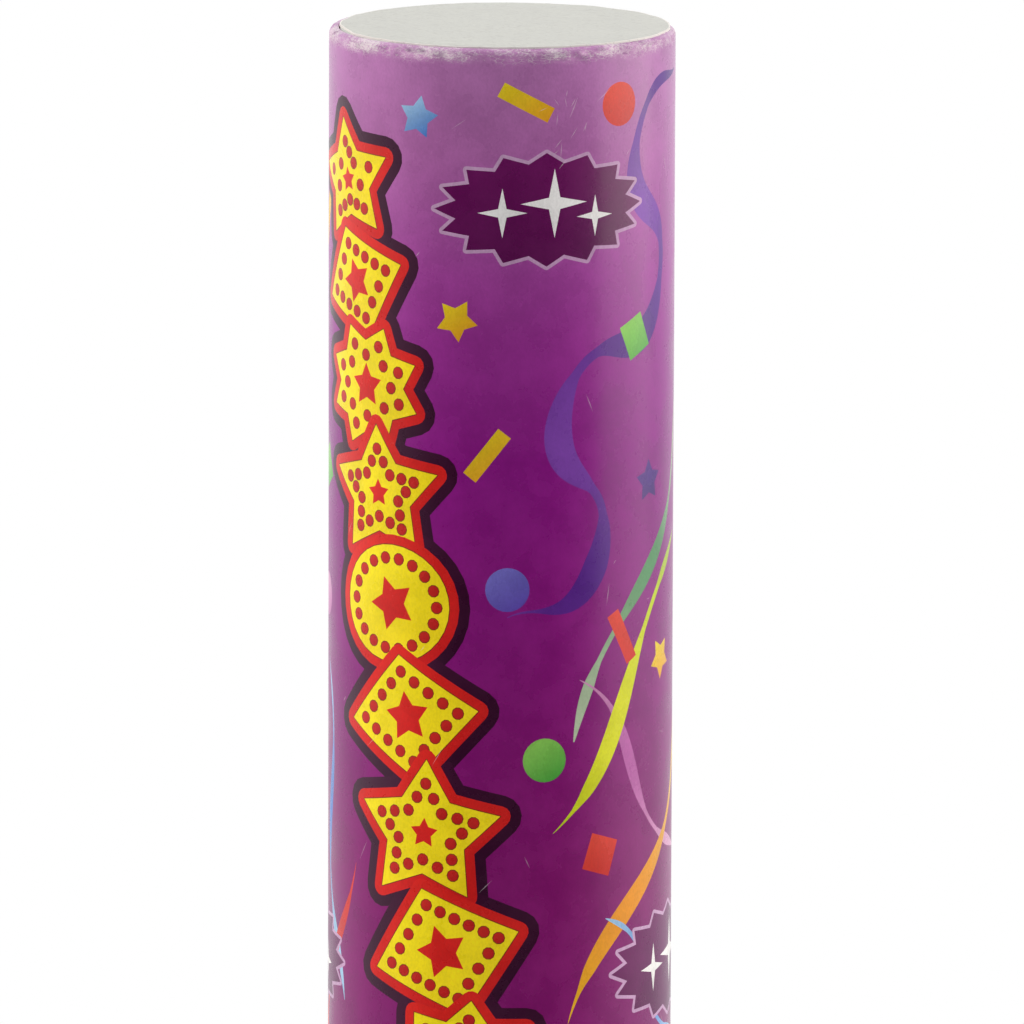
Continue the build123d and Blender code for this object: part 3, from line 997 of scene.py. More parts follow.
@dataclass(frozen=True)
class PlainPaper(Finish):
    """Uncoated or lightly metallic paper and board. The depth is in metres."""

    colour: Colour
    roughness: float = 0.7
    metallic: float = 0.0
    fibre: float = 0.4
    contrast: float = 0.10
    marks: float = 0.0
    cut_edge: bool = False
    gloss: float = 0.3
    unevenness: float = 0.06
    depth: float = 0.00004
    mark_colour: Colour = (0.35, 0.34, 0.33)

    def build(self, name: str) -> Material:
        """Builds the material.

        Args:
            name: The material's name.

        Returns:
            The material.
        """
        material, bench, shader, place = self.start(name)
        fibre = bench.effect(EFFECTS.fibre, place, Fibre_size=self.fibre)
        both = bench.math("ADD", fibre.outputs["Mottle"], fibre.outputs["Fibres"])
        dark, light = (opaque(self.colour, 1 + change) for change in (-self.contrast, self.contrast))
        colour = bench.mix(bench.ease(both, 0.6, 1.4), dark, light)
        if self.cut_edge:
            colour = bench.mix(bench.layer(BARE_LAYER).outputs["Fac"], colour, opaque(Ink.CORE.value[0]))
        if self.marks:
            scuffs = bench.effect(EFFECTS.scuffs, place, Amount=self.marks)
            colour = bench.mix(scuffs.outputs["Scratches"], colour, opaque(self.mark_colour))
        low, high = self.roughness - self.unevenness, self.roughness + self.unevenness
        bench.feed(shader, {
            "Base Color": colour,
            "Roughness": bench.ease(fibre.outputs["Mottle"], *NOISE_SPAN, low, high),
            "Normal": bench.bump(both, self.depth, 0.5),
            "Metallic": self.metallic,
            "Specular IOR Level": self.gloss,
        })
        return material


@dataclass(frozen=True)
class MouldedPlastic(Finish):
    """Injection-moulded plastic or rubber with a fine grain. The depth is in metres.

    The dark, light and scratched tones are the colour times a share, and then lifted.
    """

    colour: Colour
    roughness: float = 0.45
    grain: float = 0.35
    depth: float = 0.00002
    unevenness: float = 0.07
    dark: Pair = (0.85, 0.0)
    light: Pair = (1.12, 0.004)
    scratch: Pair = (0.6, 0.25)
    marks: float = 0.25

    def build(self, name: str) -> Material:
        """Builds the material.

        Args:
            name: The material's name.

        Returns:
            The material.
        """
        material, bench, shader, place = self.start(name)
        grain = bench.effect(EFFECTS.grain, place, Grain_size=self.grain)
        dark, light, scratch = (opaque(self.colour, *tone) for tone in (self.dark, self.light, self.scratch))
        colour = bench.mix(bench.ease(grain.outputs["Flow"], *NOISE_SPAN), dark, light)
        scuffs = bench.effect(EFFECTS.scuffs, place, Amount=self.marks)
        low, high = self.roughness - self.unevenness, self.roughness + self.unevenness
        bench.feed(shader, {
            "Base Color": bench.mix(scuffs.outputs["Scratches"], colour, scratch),
            "Roughness": bench.ease(grain.outputs["Flow"], *NOISE_SPAN, low, high),
            "Normal": bench.bump(grain.outputs["Grain"], self.depth, 0.5),
        })
        return material


@dataclass(frozen=True)
class TurnedMetal(Finish):
    """Drawn, turned or ground metal with rings round its axis. The depth is in metres."""

    colour: Colour
    roughness: float = 0.3
    pitch: float = 0.2
    depth: float = 0.00001
    dark_share: float = 0.82
    smoother: float = 0.08
    rougher: float = 0.10

    def build(self, name: str) -> Material:
        """Builds the material.

        Args:
            name: The material's name.

        Returns:
            The material.
        """
        material, bench, shader, place = self.start(name)
        marks = bench.effect(EFFECTS.turning, place, Ring_pitch=self.pitch)
        stain = bench.ease(marks.outputs["Stain"], 0.3, 0.75)
        low, high = self.roughness - self.smoother, self.roughness + self.rougher
        bench.feed(shader, {
            "Base Color": bench.mix(stain, opaque(self.colour, self.dark_share), opaque(self.colour)),
            "Roughness": bench.ease(marks.outputs["Rings"], *NOISE_SPAN, low, high),
            "Normal": bench.bump(marks.outputs["Rings"], self.depth, 0.6),
            "Metallic": 1.0,
        })
        return material


def new_piece(name: str, mesh: bpy.types.Mesh, material: Material) -> bpy.types.Object:
    """Makes an object of a mesh and gives it a material.

    Args:
        name: The piece's name.
        mesh: Its mesh, in the row frame.
        material: Its only material.

    Returns:
        The new object, linked to the scene.
    """
    mesh.materials.append(material)
    piece = bpy.data.objects.new(name, mesh)
    bpy.context.scene.collection.objects.link(piece)
    return piece


def put_in_place(piece: bpy.types.Object, node: str, body: str) -> bpy.types.Object:
    """Puts a piece in a node's place.

    Args:
        piece: The piece.
        node: The node that it replaces.
        body: The moving body that carries it.

    Returns:
        The same piece.
    """
    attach(piece, body)
    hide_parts(node)
    return piece


def rough_at(place: Vector, level: float, rate: float) -> float:
    """Returns noise at a place on a level of its own, changing at a rate."""
    return noise.noise((place + Vector((0.0, 0.0, level))) * rate)


@dataclass
class SheetMesh:
    """A mesh in the making: its points, their normals, their spots on the flat map, and its faces."""

    points: list[Vector] = field(default_factory=list)
    normals: list[Vector] = field(default_factory=list)
    spots: list[Vector] = field(default_factory=list)
    faces: Faces = field(default_factory=list)

    def add(self, point: Vector, normal: Vector, spot: Vector) -> int:
        """Adds a point.

        Args:
            point: The point, in metres.
            normal: Its normal.
            spot: Its spot on the flat map.

        Returns:
            The point's number.
        """
        self.points.append(point)
        self.normals.append(normal)
        self.spots.append(spot)
        return len(self.points) - 1

    def strip(self, rungs: list[tuple[int, int]]) -> None:
        """Adds the faces between neighbouring rungs, wound to look along their normals.

        Args:
            rungs: The numbers of the two ends of each rung, in order.
        """
        for (a, b), (d, c) in zip(rungs, rungs[1:]):
            upward = (self.points[b] - self.points[a]).cross(self.points[d] - self.points[a])
            quad = [a, b, c, d]
            self.faces.append(quad if upward.dot(self.normals[a]) > 0 else quad[::-1])


@dataclass(frozen=True)
class PaperRelief:
    """How glued paper stands off its plain form: soft waves, and dents, creases and fuzz round a turned rim.

    Depths are in millimetres. A waviness is a rate of change round the tube, and a rise one along it.
    """

    wave_depth: float = 0.018
    wave_waviness: float = 2.3
    wave_rise: float = 0.03
    rim_waviness: float = 9.0
    rim_rise: float = 0.16
    dent_depth: float = 0.10
    dent_scale: float = 0.7
    crease_depth: float = 0.13
    crease_scale: float = 2.6
    crease_sharpness: int = 7
    fuzz_depth: float = 0.05
    fuzz_scale: float = 9.0

    def off(self, turn: float, length: float, seed: float, at_rim: float) -> float:
        """Returns how far the paper stands off.

        Args:
            turn: Angle round the tube.
            length: Distance along the sheet.
            seed: Number that sets a sheet apart from others.
            at_rim: Share of the rim's dents, creases and fuzz.

        Returns:
            The distance, positive outwards.
        """
        spoke = Vector((math.cos(turn), math.sin(turn), 0.0))
        place = spoke * self.wave_waviness + Vector((0, 0, length * self.wave_rise + seed))
        wave = self.wave_depth * noise.noise(place)
        if at_rim <= 0.0:
            return wave
        place = spoke * self.rim_waviness + Vector((0, 0, length * self.rim_rise + seed))
        dents = self.dent_depth * noise.noise(place * self.dent_scale)
        creases = (1 - abs(noise.noise(place * self.crease_scale))) ** self.crease_sharpness
        fuzz = self.fuzz_depth * noise.noise(place * self.fuzz_scale)
        return wave + at_rim * (dents - self.crease_depth * creases + fuzz)


@dataclass(frozen=True)
class Scratches:
    """Fine handling scratches on a sheet, most of them near its turned rim and some in one cluster.

    Sizes are in millimetres. The pairs of the cluster and the slant are the middle and the spread of a bell
    curve, and the other pairs are the ends of an even range.
    """

    count: int = 70
    margin: float = 4.0
    crowding: float = 2.2
    cluster_every: int = 5
    cluster_across: Pair = (9.5, 1.8)
    cluster_below: Pair = (9.0, 2.6)
    slant: Pair = (0.9, 0.35)
    half_length: Pair = (0.4, 1.8)
    half_width: Pair = (0.04, 0.075)

    def patches(self, start: float, end: float, rim: float, seed: float) -> list[Patch]:
        """Draws the scratches.

        Args:
            start: Where the sheet starts round the tube.
            end: Where it ends.
            rim: Length along the sheet at which it turns.
            seed: Number that the draws start from.

        Returns:
            A thin patch for each scratch.
        """
        chance = random.Random(seed)
        found: list[Patch] = []
        for number in range(self.count):
            across = chance.uniform(start + self.margin, end - self.margin)
            length = rim - self.margin - (rim - 2 * self.margin) * chance.random() ** self.crowding
            if number % self.cluster_every == 0:
                across = chance.gauss(*self.cluster_across)
                length = rim - chance.gauss(*self.cluster_below)
            middle = Vector((across, length))
            slant = chance.gauss(*self.slant) * chance.choice((1, 1, -1))
            line = Vector((math.cos(slant), math.sin(slant))) * chance.uniform(*self.half_length)
            side = Vector((-line.y, line.x)).normalized() * chance.uniform(*self.half_width)
            outline = (middle - line, middle + side, middle + line, middle - side)
            found.append(Patch(outline, middle - line, middle + line, *Ink.WHITE.value))
        return found


@dataclass
class PrintedWrap:
    """A printed sheet glued round a tube, lapped at the back and turned in over one end.

    Sizes are in millimetres. A place on the flat sheet is the distance round the tube from the middle of the
    front and the length along the sheet from its plain edge.
    """

    node: str
    body: str
    layout: PartyPrint
    up: int
    seed: float
    slot: str = "printed_wrap"
    shoulder: float = 1.1
    fold: float = 0.3
    rim_width: float = 1.5
    tuck: float = 8.0
    paper: float = 0.25
    lap_turn: float = 197.0
    lap_width: float = 6.0
    lap_rise: float = 0.15
    lap_ramp: float = 0.8
    lap_fade: float = 2.0
    lap_gap: float = 0.03
    creased_before: float = 1.6
    creased_from: float = 0.5
    creased_past: float = 2.0
    pressed_before: float = 0.4
    pressed_share: float = 0.7
    column: float = 1.05
    row: float = 3.0
    plain_rows_end: float = 3.0
    rim_rows_before: float = 2.4
    rim_rows_past: float = 0.6
    rim_step: float = 0.22
    tuck_row: float = 2.0
    back_column: float = 2.0
    back_row: float = 6.0
    longest_side: float = 1.6
    grain: float = 0.001
    map_margin: float = 2.0
    map_back_share: float = 0.3
    map_edge_gap: float = 0.4
    map_edge: float = 0.8
    relief_kind: PaperRelief = PaperRelief()
    scratches: Scratches = Scratches()

    def __post_init__(self) -> None:
        """Takes the sheet's sizes from the node that it replaces."""
        low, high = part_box(self.node)
        self.radius = high.x / MM
        self.plain = (low.z if self.up > 0 else high.z) / MM
        self.rim = (high.z if self.up > 0 else low.z) / MM
        self.crease = self.rim - self.up * self.shoulder
        self.straight = abs(self.crease - self.plain)
        self.bend = self.straight + self.shoulder * math.pi / 2
        self.brim = self.bend + self.rim_width - self.shoulder - self.fold
        self.turned = self.brim + self.fold * math.pi / 2
        self.length = self._settled(self.turned + self.tuck - self.fold)
        self.girth = 2 * math.pi * self.radius
        self.end = self.radius * math.radians(self.lap_turn) + self.lap_width / 2
        self.width = self._settled(self.girth + self.lap_width)
        self.start = self.end - self.width
        middle = Vector((self.start + self.end, self.length)) / 2
        self.sheet = placed(oblong(self.width, self.length), middle)
        self.inks = self._inks()
        self.slivers = self.scratches.patches(self.start, self.end, self.straight, self.seed)

    def _settled(self, size: float) -> float:
        """Returns a size as a whole number of grains."""
        return round(size / self.grain) * self.grain

    def profile(self, length: float) -> Triple:
        """Follows the plain form along the sheet.

        Args:
            length: Distance along the sheet from its plain edge.

        Returns:
            The radius, the height and the outward lean there.
        """
        if length <= self.straight:
            return self.radius, self.plain + self.up * length, 0.0
        if length <= self.bend:
            lean = (length - self.straight) / self.shoulder
            rise = self.straight + self.shoulder * math.sin(lean)
            return self.radius - self.shoulder * (1 - math.cos(lean)), self.plain + self.up * rise, lean
        if length <= self.brim:
            return self.radius - self.shoulder - (length - self.bend), self.rim, math.pi / 2
        inner = self.radius - self.rim_width
        if length <= self.turned:
            lean = math.pi / 2 + (length - self.brim) / self.fold
            reach = self.fold * (1 - math.sin(lean))
            return inner + self.fold * (1 + math.cos(lean)), self.rim - self.up * reach, lean
        return inner, self.rim - self.up * (self.fold + length - self.turned), math.pi

    def relief(self, across: float, length: float) -> float:
        """Measures how far the paper stands off. It is creased round the rim and pressed on it.

        Args:
            across: Distance round the tube from the middle of the front.
            length: Distance along the sheet from its plain edge.

        Returns:
            The distance, positive outwards.
        """
        at_rim = smooth(self.straight - self.creased_before, self.straight + self.creased_from, length)
        at_rim *= 1 - smooth(self.turned, self.turned + self.creased_past, length)
        pressed = self.pressed_share * smooth(self.bend - self.pressed_before, self.bend, length)
        return self.relief_kind.off(across / self.radius, length, self.seed, at_rim * (1 - pressed))

    def lapped(self, across: float, length: float) -> float:
        """Tells the lap from the rest, eased where it starts and where the rim turns.

        Args:
            across: Distance round the tube from the middle of the front.
            length: Distance along the sheet from its plain edge.

        Returns:
            1 on the lap and 0 off it.
        """
        lap_start = self.end - self.lap_width
        below_rim = 1 - smooth(self.straight - self.lap_fade, self.straight, length)
        return smooth(lap_start - self.lap_ramp, lap_start, across) * below_rim

    def tucked(self, across: float) -> float:
        """Tells the strip that the lap covers from the rest, eased at the lap's edge.

        Args:
            across: Distance round the tube from the middle of the front.

        Returns:
            1 on the strip and 0 off it.
        """
        lap_edge = self.start + self.lap_width
        return 1 - smooth(lap_edge - self.lap_ramp, lap_edge, across)

    def facing(self, across: float, length: float) -> Vector:
        """Finds which way the sheet's plain form faces.

        Args:
            across: Distance round the tube from the middle of the front.
            length: Distance along the sheet from its plain edge.

        Returns:
            The outward normal.
        """
        lean = self.profile(length)[2]
        turn = across / self.radius + FRONT_TURN
        level = math.cos(lean)
        return Vector((level * math.cos(turn), level * math.sin(turn), self.up * math.sin(lean)))

    def stood_off(self, across: float, length: float, off: float) -> Vector:
        """Returns the point that stands off the sheet's plain form.

        Args:
            across: Distance round the tube from the middle of the front.
            length: Distance along the sheet from its plain edge.
            off: Distance outwards.

        Returns:
            The point in the row frame, in metres.
        """
        radius, height, _ = self.profile(length)
        turn = across / self.radius + FRONT_TURN
        plain = Vector((radius * math.cos(turn), radius * math.sin(turn), height))
        return (plain + self.facing(across, length) * off) * MM

    def point(self, across: float, length: float) -> Vector:
        """Returns the point of the printed side at a place on the sheet."""
        off = self.lap_rise * self.lapped(across, length) - self.lap_gap * self.tucked(across)
        return self.stood_off(across, length, off + self.relief(across, length))

    def back_point(self, across: float, length: float) -> Vector:
        """Returns the point of the sheet's glued side. Where it laps, it lies just over the sheet's start."""
        off = self.lapped(across, length) * (self.paper + self.lap_gap) - self.lap_gap * self.tucked(across)
        return self.stood_off(across, length, off - self.paper)

    def normal(self, across: float, length: float) -> Vector:
        """Finds which way the printed side faces, from its neighbours.

        Args:
            across: Distance round the tube from the middle of the front.
            length: Distance along the sheet from its plain edge.

        Returns:
            The outward normal.
        """
        step = 0.05
        sideways = self.point(across + step, length) - self.point(across - step, length)
        upward = self.point(across, length + step) - self.point(across, length - step)
        return (sideways.cross(upward) * self.up).normalized()

    def grid(self, column: float, row: float) -> Outline:
        """Spreads places over the flat sheet, in closer rows round the rim, and none on its edge.

        Args:
            column: About how far apart the columns are.
            row: About how far apart the plain rows are.

        Returns:
            The places.
        """
        rows = spaced(0.0, self.straight - self.plain_rows_end, row)
        rows += spaced(self.straight - self.rim_rows_before, self.turned + self.rim_rows_past, self.rim_step)
        rows += spaced(self.turned + self.tuck_row, self.length, self.tuck_row)
        columns = spaced(self.start, self.end, column)
        return [Vector((x, y)) for y in rows[1:-1] for x in columns[1:-1]]

    def cut(
        self, outlines: Sequence[Sequence[Vector]], grid: Outline
    ) -> tuple[Outline, Faces, dict[int, int]]:
        """Cuts the flat sheet into triangles along outlines and through a grid.

        Args:
            outlines: Closed outlines, whose sides become sides of triangles.
            grid: Other corners of triangles.

        Returns:
            The flat places, settled on a fine lattice, the triangles, and the new number of each given place.
        """
        near = 1e-4
        places: Outline = []
        sides: list[tuple[int, int]] = []
        for outline in outlines:
            first, count = len(places), len(outline)
            sides += [(first + step, first + (step + 1) % count) for step in range(count)]
            places += outline
        corners, _, faces, origins, *_ = delaunay_2d_cdt(places + grid, sides, [], 0, near)
        on_sheet = encloses(self.sheet, self._middles(corners, faces))
        faces = [face for face, kept in zip(faces, on_sheet) if kept]
        number: dict[tuple[int, int], int] = {}
        settled: dict[int, int] = {}
        for index in sorted({index for face in faces for index in face}):
            across, length = corners[index].x - self.start, corners[index].y
            spot = (round(across / self.grain), round(length / self.grain))
            settled[index] = number.setdefault(spot, len(number))
        flat = [Vector((self.start + across * self.grain, length * self.grain)) for across, length in number]
        triangles = [[settled[index] for index in face] for face in faces]
        given = {origin: settled[index] for index in settled for origin in origins[index]}
        return flat, [face for face in triangles if len(set(face)) == 3], given

    @staticmethod
    def _middles(flat: Outline, faces: Faces) -> np.ndarray:
        """Returns the middle of each triangle, one a row."""
        return np.array([corner[:] for corner in flat])[np.array(faces)].mean(axis=1)

    @staticmethod
    def topmost(patches: list[Patch], middles: np.ndarray) -> np.ndarray:
        """Finds the patch on top at each place.

        Args:
            patches: The patches in paint order.
            middles: The places, one a row.

        Returns:
            The number of the last patch that each place lies in, or -1.
        """
        top = np.full(len(middles), -1)
        for number, patch in enumerate(patches):
            corners = np.array([corner[:] for corner in patch.outline])
            inside_box = (middles > corners.min(axis=0)) & (middles < corners.max(axis=0))
            near = np.flatnonzero(inside_box.all(axis=1))
            top[near[encloses(patch.outline, middles[near])]] = number
        return top

    def _inks(self) -> list[Patch]:
        """Lays the print out on the flat sheet, run on past its edges.

        Returns:
            The patches in paint order.
        """
        found: list[Patch] = []
        for patch in self.layout.patches(self.girth / 2):
            for round_trip in (-self.girth, 0.0, self.girth):
                moved = self._on_sheet(patch, round_trip)
                across = [corner.x for corner in moved.outline]
                if max(across) > self.start and min(across) < self.end:
                    found.append(moved)
        return found

    def _on_sheet(self, patch: Patch, round_trip: float) -> Patch:
        """Moves a printed patch to the flat sheet's own places.

        Args:
            patch: The patch.
            round_trip: Distance to move it round the tube.

        Returns:
            The moved patch.
        """
        corners = (*patch.outline, patch.start, patch.end)
        flat = [Vector((corner.x + round_trip, (corner.y - self.plain) * self.up)) for corner in corners]
        return Patch(tuple(flat[:-2]), flat[-2], flat[-1], patch.first, patch.last)

    def build(self, material: Material) -> bpy.types.Object:
        """Builds the sheet and puts it in the node's place.

        Args:
            material: The printed paper.

        Returns:
            The new piece.
        """
        outlines = [finer(patch.outline, self.longest_side) for patch in self.inks + self.slivers]
        edge = finer(self.sheet, self.column)
        flat, triangles, _ = self.cut([edge, *outlines], self.grid(self.column, self.row))
        body = SheetMesh()
        corner = Vector((self.map_margin - self.start, self.map_margin))
        for place in flat:
            body.add(self.point(*place), self.normal(*place), place + corner)
        body.faces += [face[::self.up] for face in triangles]
        self._close(body, flat)
        mesh = bpy.data.meshes.new(self.node + "_print")
        mesh.from_pydata(body.points, [], body.faces)
        self._ink(mesh, flat, self._middles(flat, triangles), body.spots)
        mesh.polygons.foreach_set("use_smooth", [True] * len(mesh.polygons))
        mesh.normals_split_custom_set_from_vertices(body.normals)
        piece = new_piece(self.node + "_print", mesh, material)
        return put_in_place(piece, self.node, self.body)

    def _close(self, body: SheetMesh, flat: Outline) -> None:
        """Adds the sheet's glued side and its cut edges, so that the paper is a closed body.

        Args:
            body: The mesh in the making, with the printed side in it.
            flat: The flat place of each of its points.
        """
        near = 1e-3
        borders: list[tuple[Vector, list[int]]] = []
        for outward in (Vector((0.0, -1.0)), Vector((1.0, 0.0)), Vector((0.0, 1.0)), Vector((-1.0, 0.0))):
            reach = max(place.dot(outward) for place in flat) - near
            border = [index for index, place in enumerate(flat) if place.dot(outward) > reach]
            ahead = Vector((-outward.y, outward.x))
            borders.append((outward, sorted(border, key=lambda index: flat[index].dot(ahead))))
        loop = [index for _, border in borders for index in border[:-1]]
        grid = self.grid(self.back_column, self.back_row)
        places, triangles, given = self.cut([[flat[index] for index in loop]], grid)
        first = len(body.points)
        for place in places:
            spot = Vector((self.width + (place.x - self.start) * self.map_back_share, place.y))
            spot += Vector((3.0, 1.0)) * self.map_margin
            body.add(self.back_point(*place), -self.facing(*place), spot)
        body.faces += [[first + index for index in face[::-self.up]] for face in triangles]
        under = {index: first + given[order] for order, index in enumerate(loop)}
        for outward, border in borders:
            rungs: list[tuple[int, int]] = []
            for index in border:
                top, low = body.points[index], body.points[under[index]]
                normal = (self.point(*(flat[index] + outward * near)) - top).normalized()
                spot = body.spots[index] + outward * self.map_edge_gap
                upper = body.add(top, normal, spot)
                rungs.append((upper, body.add(low, normal, spot + outward * self.map_edge)))
            body.strip(rungs)

    def _ink(self, mesh: bpy.types.Mesh, flat: Outline, middles: np.ndarray, spots: Outline) -> None:
        """Writes the inks to the mesh, and its flat map.

        Args:
            mesh: The sheet's mesh, whose first faces are the printed ones.
            flat: The flat place of each printed point.
            middles: The middle of each printed triangle.
            spots: The spot of each point on the flat map.
        """
        top = self.topmost(self.inks, middles)
        scratched = self.topmost(self.slivers, middles) >= 0
        inks = mesh.color_attributes.new(PRINT_LAYER, "FLOAT_COLOR", "CORNER")
        bare = mesh.attributes.new(BARE_LAYER, "FLOAT", "FACE")
        sheet_map = mesh.uv_layers.new(name=SHEET_MAP)
        margins = 4 * self.map_margin
        size = max(self.width * (1 + self.map_back_share), self.length) + margins
        for polygon in mesh.polygons:
            printed = polygon.index < len(middles)
            bare.data[polygon.index].value = float(printed and scratched[polygon.index])
            for loop in polygon.loop_indices:
                vertex = mesh.loops[loop].vertex_index
                sheet_map.data[loop].uv = spots[vertex] / size
                colour = (0.0, 0.0, 0.0, 0.0)
                if not printed:
                    colour = opaque(Ink.CORE.value[0])
                elif top[polygon.index] >= 0:
                    colour = opaque(self.inks[top[polygon.index]].colour_at(flat[vertex]))
                inks.data[loop].color = colour


@dataclass
class MuzzleSeal:
    """The silver paper lid that closes the muzzle, its brim lying a little aside on the rim.

    Sizes are in millimetres, and turns are in degrees. A rate says how fast a roughness changes.
    """

    node: str = "muzzle_seal"
    body: str = "muzzle"
    slot: str = "silver_paper"
    thickness: float = 0.3
    brim_width: float = 0.5
    skirt_wall: float = 0.5
    skirt_lead: float = 0.4
    skirt_rows: int = 4
    aside: float = 0.34
    rings: int = 26
    ring_crowding: float = 0.85
    under_rings: int = 5
    spokes: int = 180
    dishing: float = 0.10
    unevenness: float = 0.10
    swell_rate: float = 0.12
    ripple_rate: float = 0.5
    ripple_share: float = 0.35
    edge_reach: float = 1.0
    edge_width: float = 0.22
    edge_drop: float = 0.16
    edge_wave: float = 0.09
    wave_rate: float = 8.0
    ragged: float = 0.12
    tooth_rate: float = 6.5
    fray_rate: float = 23.0
    fray_share: float = 0.6
    torn_turn: float = -62.0
    torn_span: Pair = (0.80, 0.97)
    torn_depth: float = 0.30
    torn_fray: float = 2.5

    def __post_init__(self) -> None:
        """Takes the lid's sizes from the node that it replaces."""
        low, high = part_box(self.node)
        self.brim, self.bottom, self.top = high.x / MM, low.z / MM, high.z / MM

    def lines(self, rim: float) -> list[tuple[float, float, float, float]]:
        """Lists the lid's rings: out over the disc, down the brim and skirt, and back in under the disc.

        Args:
            rim: Level of the rim that the brim lies on.

        Returns:
            Each ring's reach and level, how far it follows the brim, and how far the disc's waves. A ring
            that comes twice is a sharp edge.
        """
        face, seat, under = self.brim - self.edge_width, rim - self.edge_wave, self.top - self.thickness
        skirt = self.brim - self.brim_width
        inner = skirt - self.skirt_wall
        shares = [(step / self.rings) ** self.ring_crowding for step in range(1, self.rings + 1)]
        found = [(face * share, self.top, 1.0, 1.0) for share in shares]
        found += [(self.brim, self.top, 1.0, 1.0)] * 2 + [(self.brim, seat, 1.0, 0.0)] * 2
        levels = spaced(seat - self.skirt_lead, self.bottom, (seat - self.bottom) / self.skirt_rows)
        found += [(skirt, level, 0.0, 0.0) for level in (seat, *levels, self.bottom)]
        found += [(inner, self.bottom, 0.0, 0.0)] * 2 + [(inner, under, 0.0, 1.0)] * 2
        shares = [step / self.under_rings for step in range(self.under_rings - 1, 0, -1)]
        return found + [(inner * share, under, 0.0, 1.0) for share in shares]

    def build(self, rim: float, material: Material) -> bpy.types.Object:
        """Builds the lid and puts it in the node's place.

        Args:
            rim: Level of the rim that it lies on.
            material: The silver paper.

        Returns:
            The new piece.
        """
        lines = self.lines(rim)
        face = self.brim - self.edge_width
        points = [Vector((self.aside, 0.0, self.top - self.dishing)) * MM]
        for line in lines:
            points += [self._point(*line, spoke) for spoke in range(self.spokes)]
        points.append(Vector((0.0, 0.0, self.top - self.thickness - self.dishing)) * MM)
        after = [(spoke + 1) % self.spokes for spoke in range(self.spokes)]
        faces: list[tuple[int, ...]] = [(0, 1 + spoke, 1 + after[spoke]) for spoke in range(self.spokes)]
        edge: list[bool] = [False] * self.spokes
        for ring, (line, follower) in enumerate(zip(lines, lines[1:])):
            here, there = 1 + ring * self.spokes, 1 + (ring + 1) * self.spokes
            if line == follower:
                continue
            for spoke in range(self.spokes):
                faces.append((here + spoke, there + spoke, there + after[spoke], here + after[spoke]))
                edge.append(face <= line[0] and follower[0] == self.brim)
        last = 1 + (len(lines) - 1) * self.spokes
        faces += [(last + spoke, len(points) - 1, last + after[spoke]) for spoke in range(self.spokes)]
        edge += [False] * self.spokes
        mesh = bpy.data.meshes.new("muzzle_seal_paper")
        mesh.from_pydata(points, [], faces)
        mesh.polygons.foreach_set("use_smooth", [True] * len(mesh.polygons))
        bare = mesh.attributes.new(BARE_LAYER, "FLOAT", "FACE")
        bare.data.foreach_set("value", [float(cut) for cut in edge])
        piece = new_piece("muzzle_seal_paper", mesh, material)
        return put_in_place(piece, self.node, self.body)

    def _point(self, reach: float, height: float, share: float, waves: float, spoke: int) -> Vector:
        """Returns one point of the lid, in metres.

        Args:
            reach: Distance from the lid's middle.
            height: Level before the paper's waves.
            share: How far the point follows the brim, set aside and ragged, and not the skirt.
            waves: How far it follows the disc's waves.
            spoke: Number of the spoke that it lies on.

        Returns:
            The point in the row frame.
        """
        bearing = 2 * math.pi * spoke / self.spokes + FRONT_TURN
        round_place = Vector((math.cos(bearing), math.sin(bearing), 0.0))
        at_edge = smooth(self.brim - self.edge_reach, self.brim, reach)
        tooth = rough_at(round_place, 0.4, self.tooth_rate)
        tooth += self.fray_share * rough_at(round_place, 0.9, self.fray_rate)
        torn = smooth(*self.torn_span, math.cos(bearing - FRONT_TURN - math.radians(self.torn_turn)))
        ragged = self.ragged * (1 + self.torn_fray * torn)
        reach += share * at_edge * (ragged * tooth - self.torn_depth * torn)
        x, y = reach * round_place.x + share * self.aside, reach * round_place.y
        swell = self.unevenness * noise.noise(Vector((x * self.swell_rate, y * self.swell_rate, 3.7)))
        ripple = noise.noise(Vector((x * self.ripple_rate, y * self.ripple_rate, 8.1)))
        swell += self.ripple_share * self.unevenness * ripple
        dish = self.dishing * (1 - (reach / self.brim) ** 2) + abs(swell)
        sag = waves * ((1 - at_edge) * dish + at_edge * self.edge_drop)
        wave = self.edge_wave * rough_at(round_place, 1.7, self.wave_rate)
        return Vector((x, y, height - sag + share * at_edge * wave)) * MM


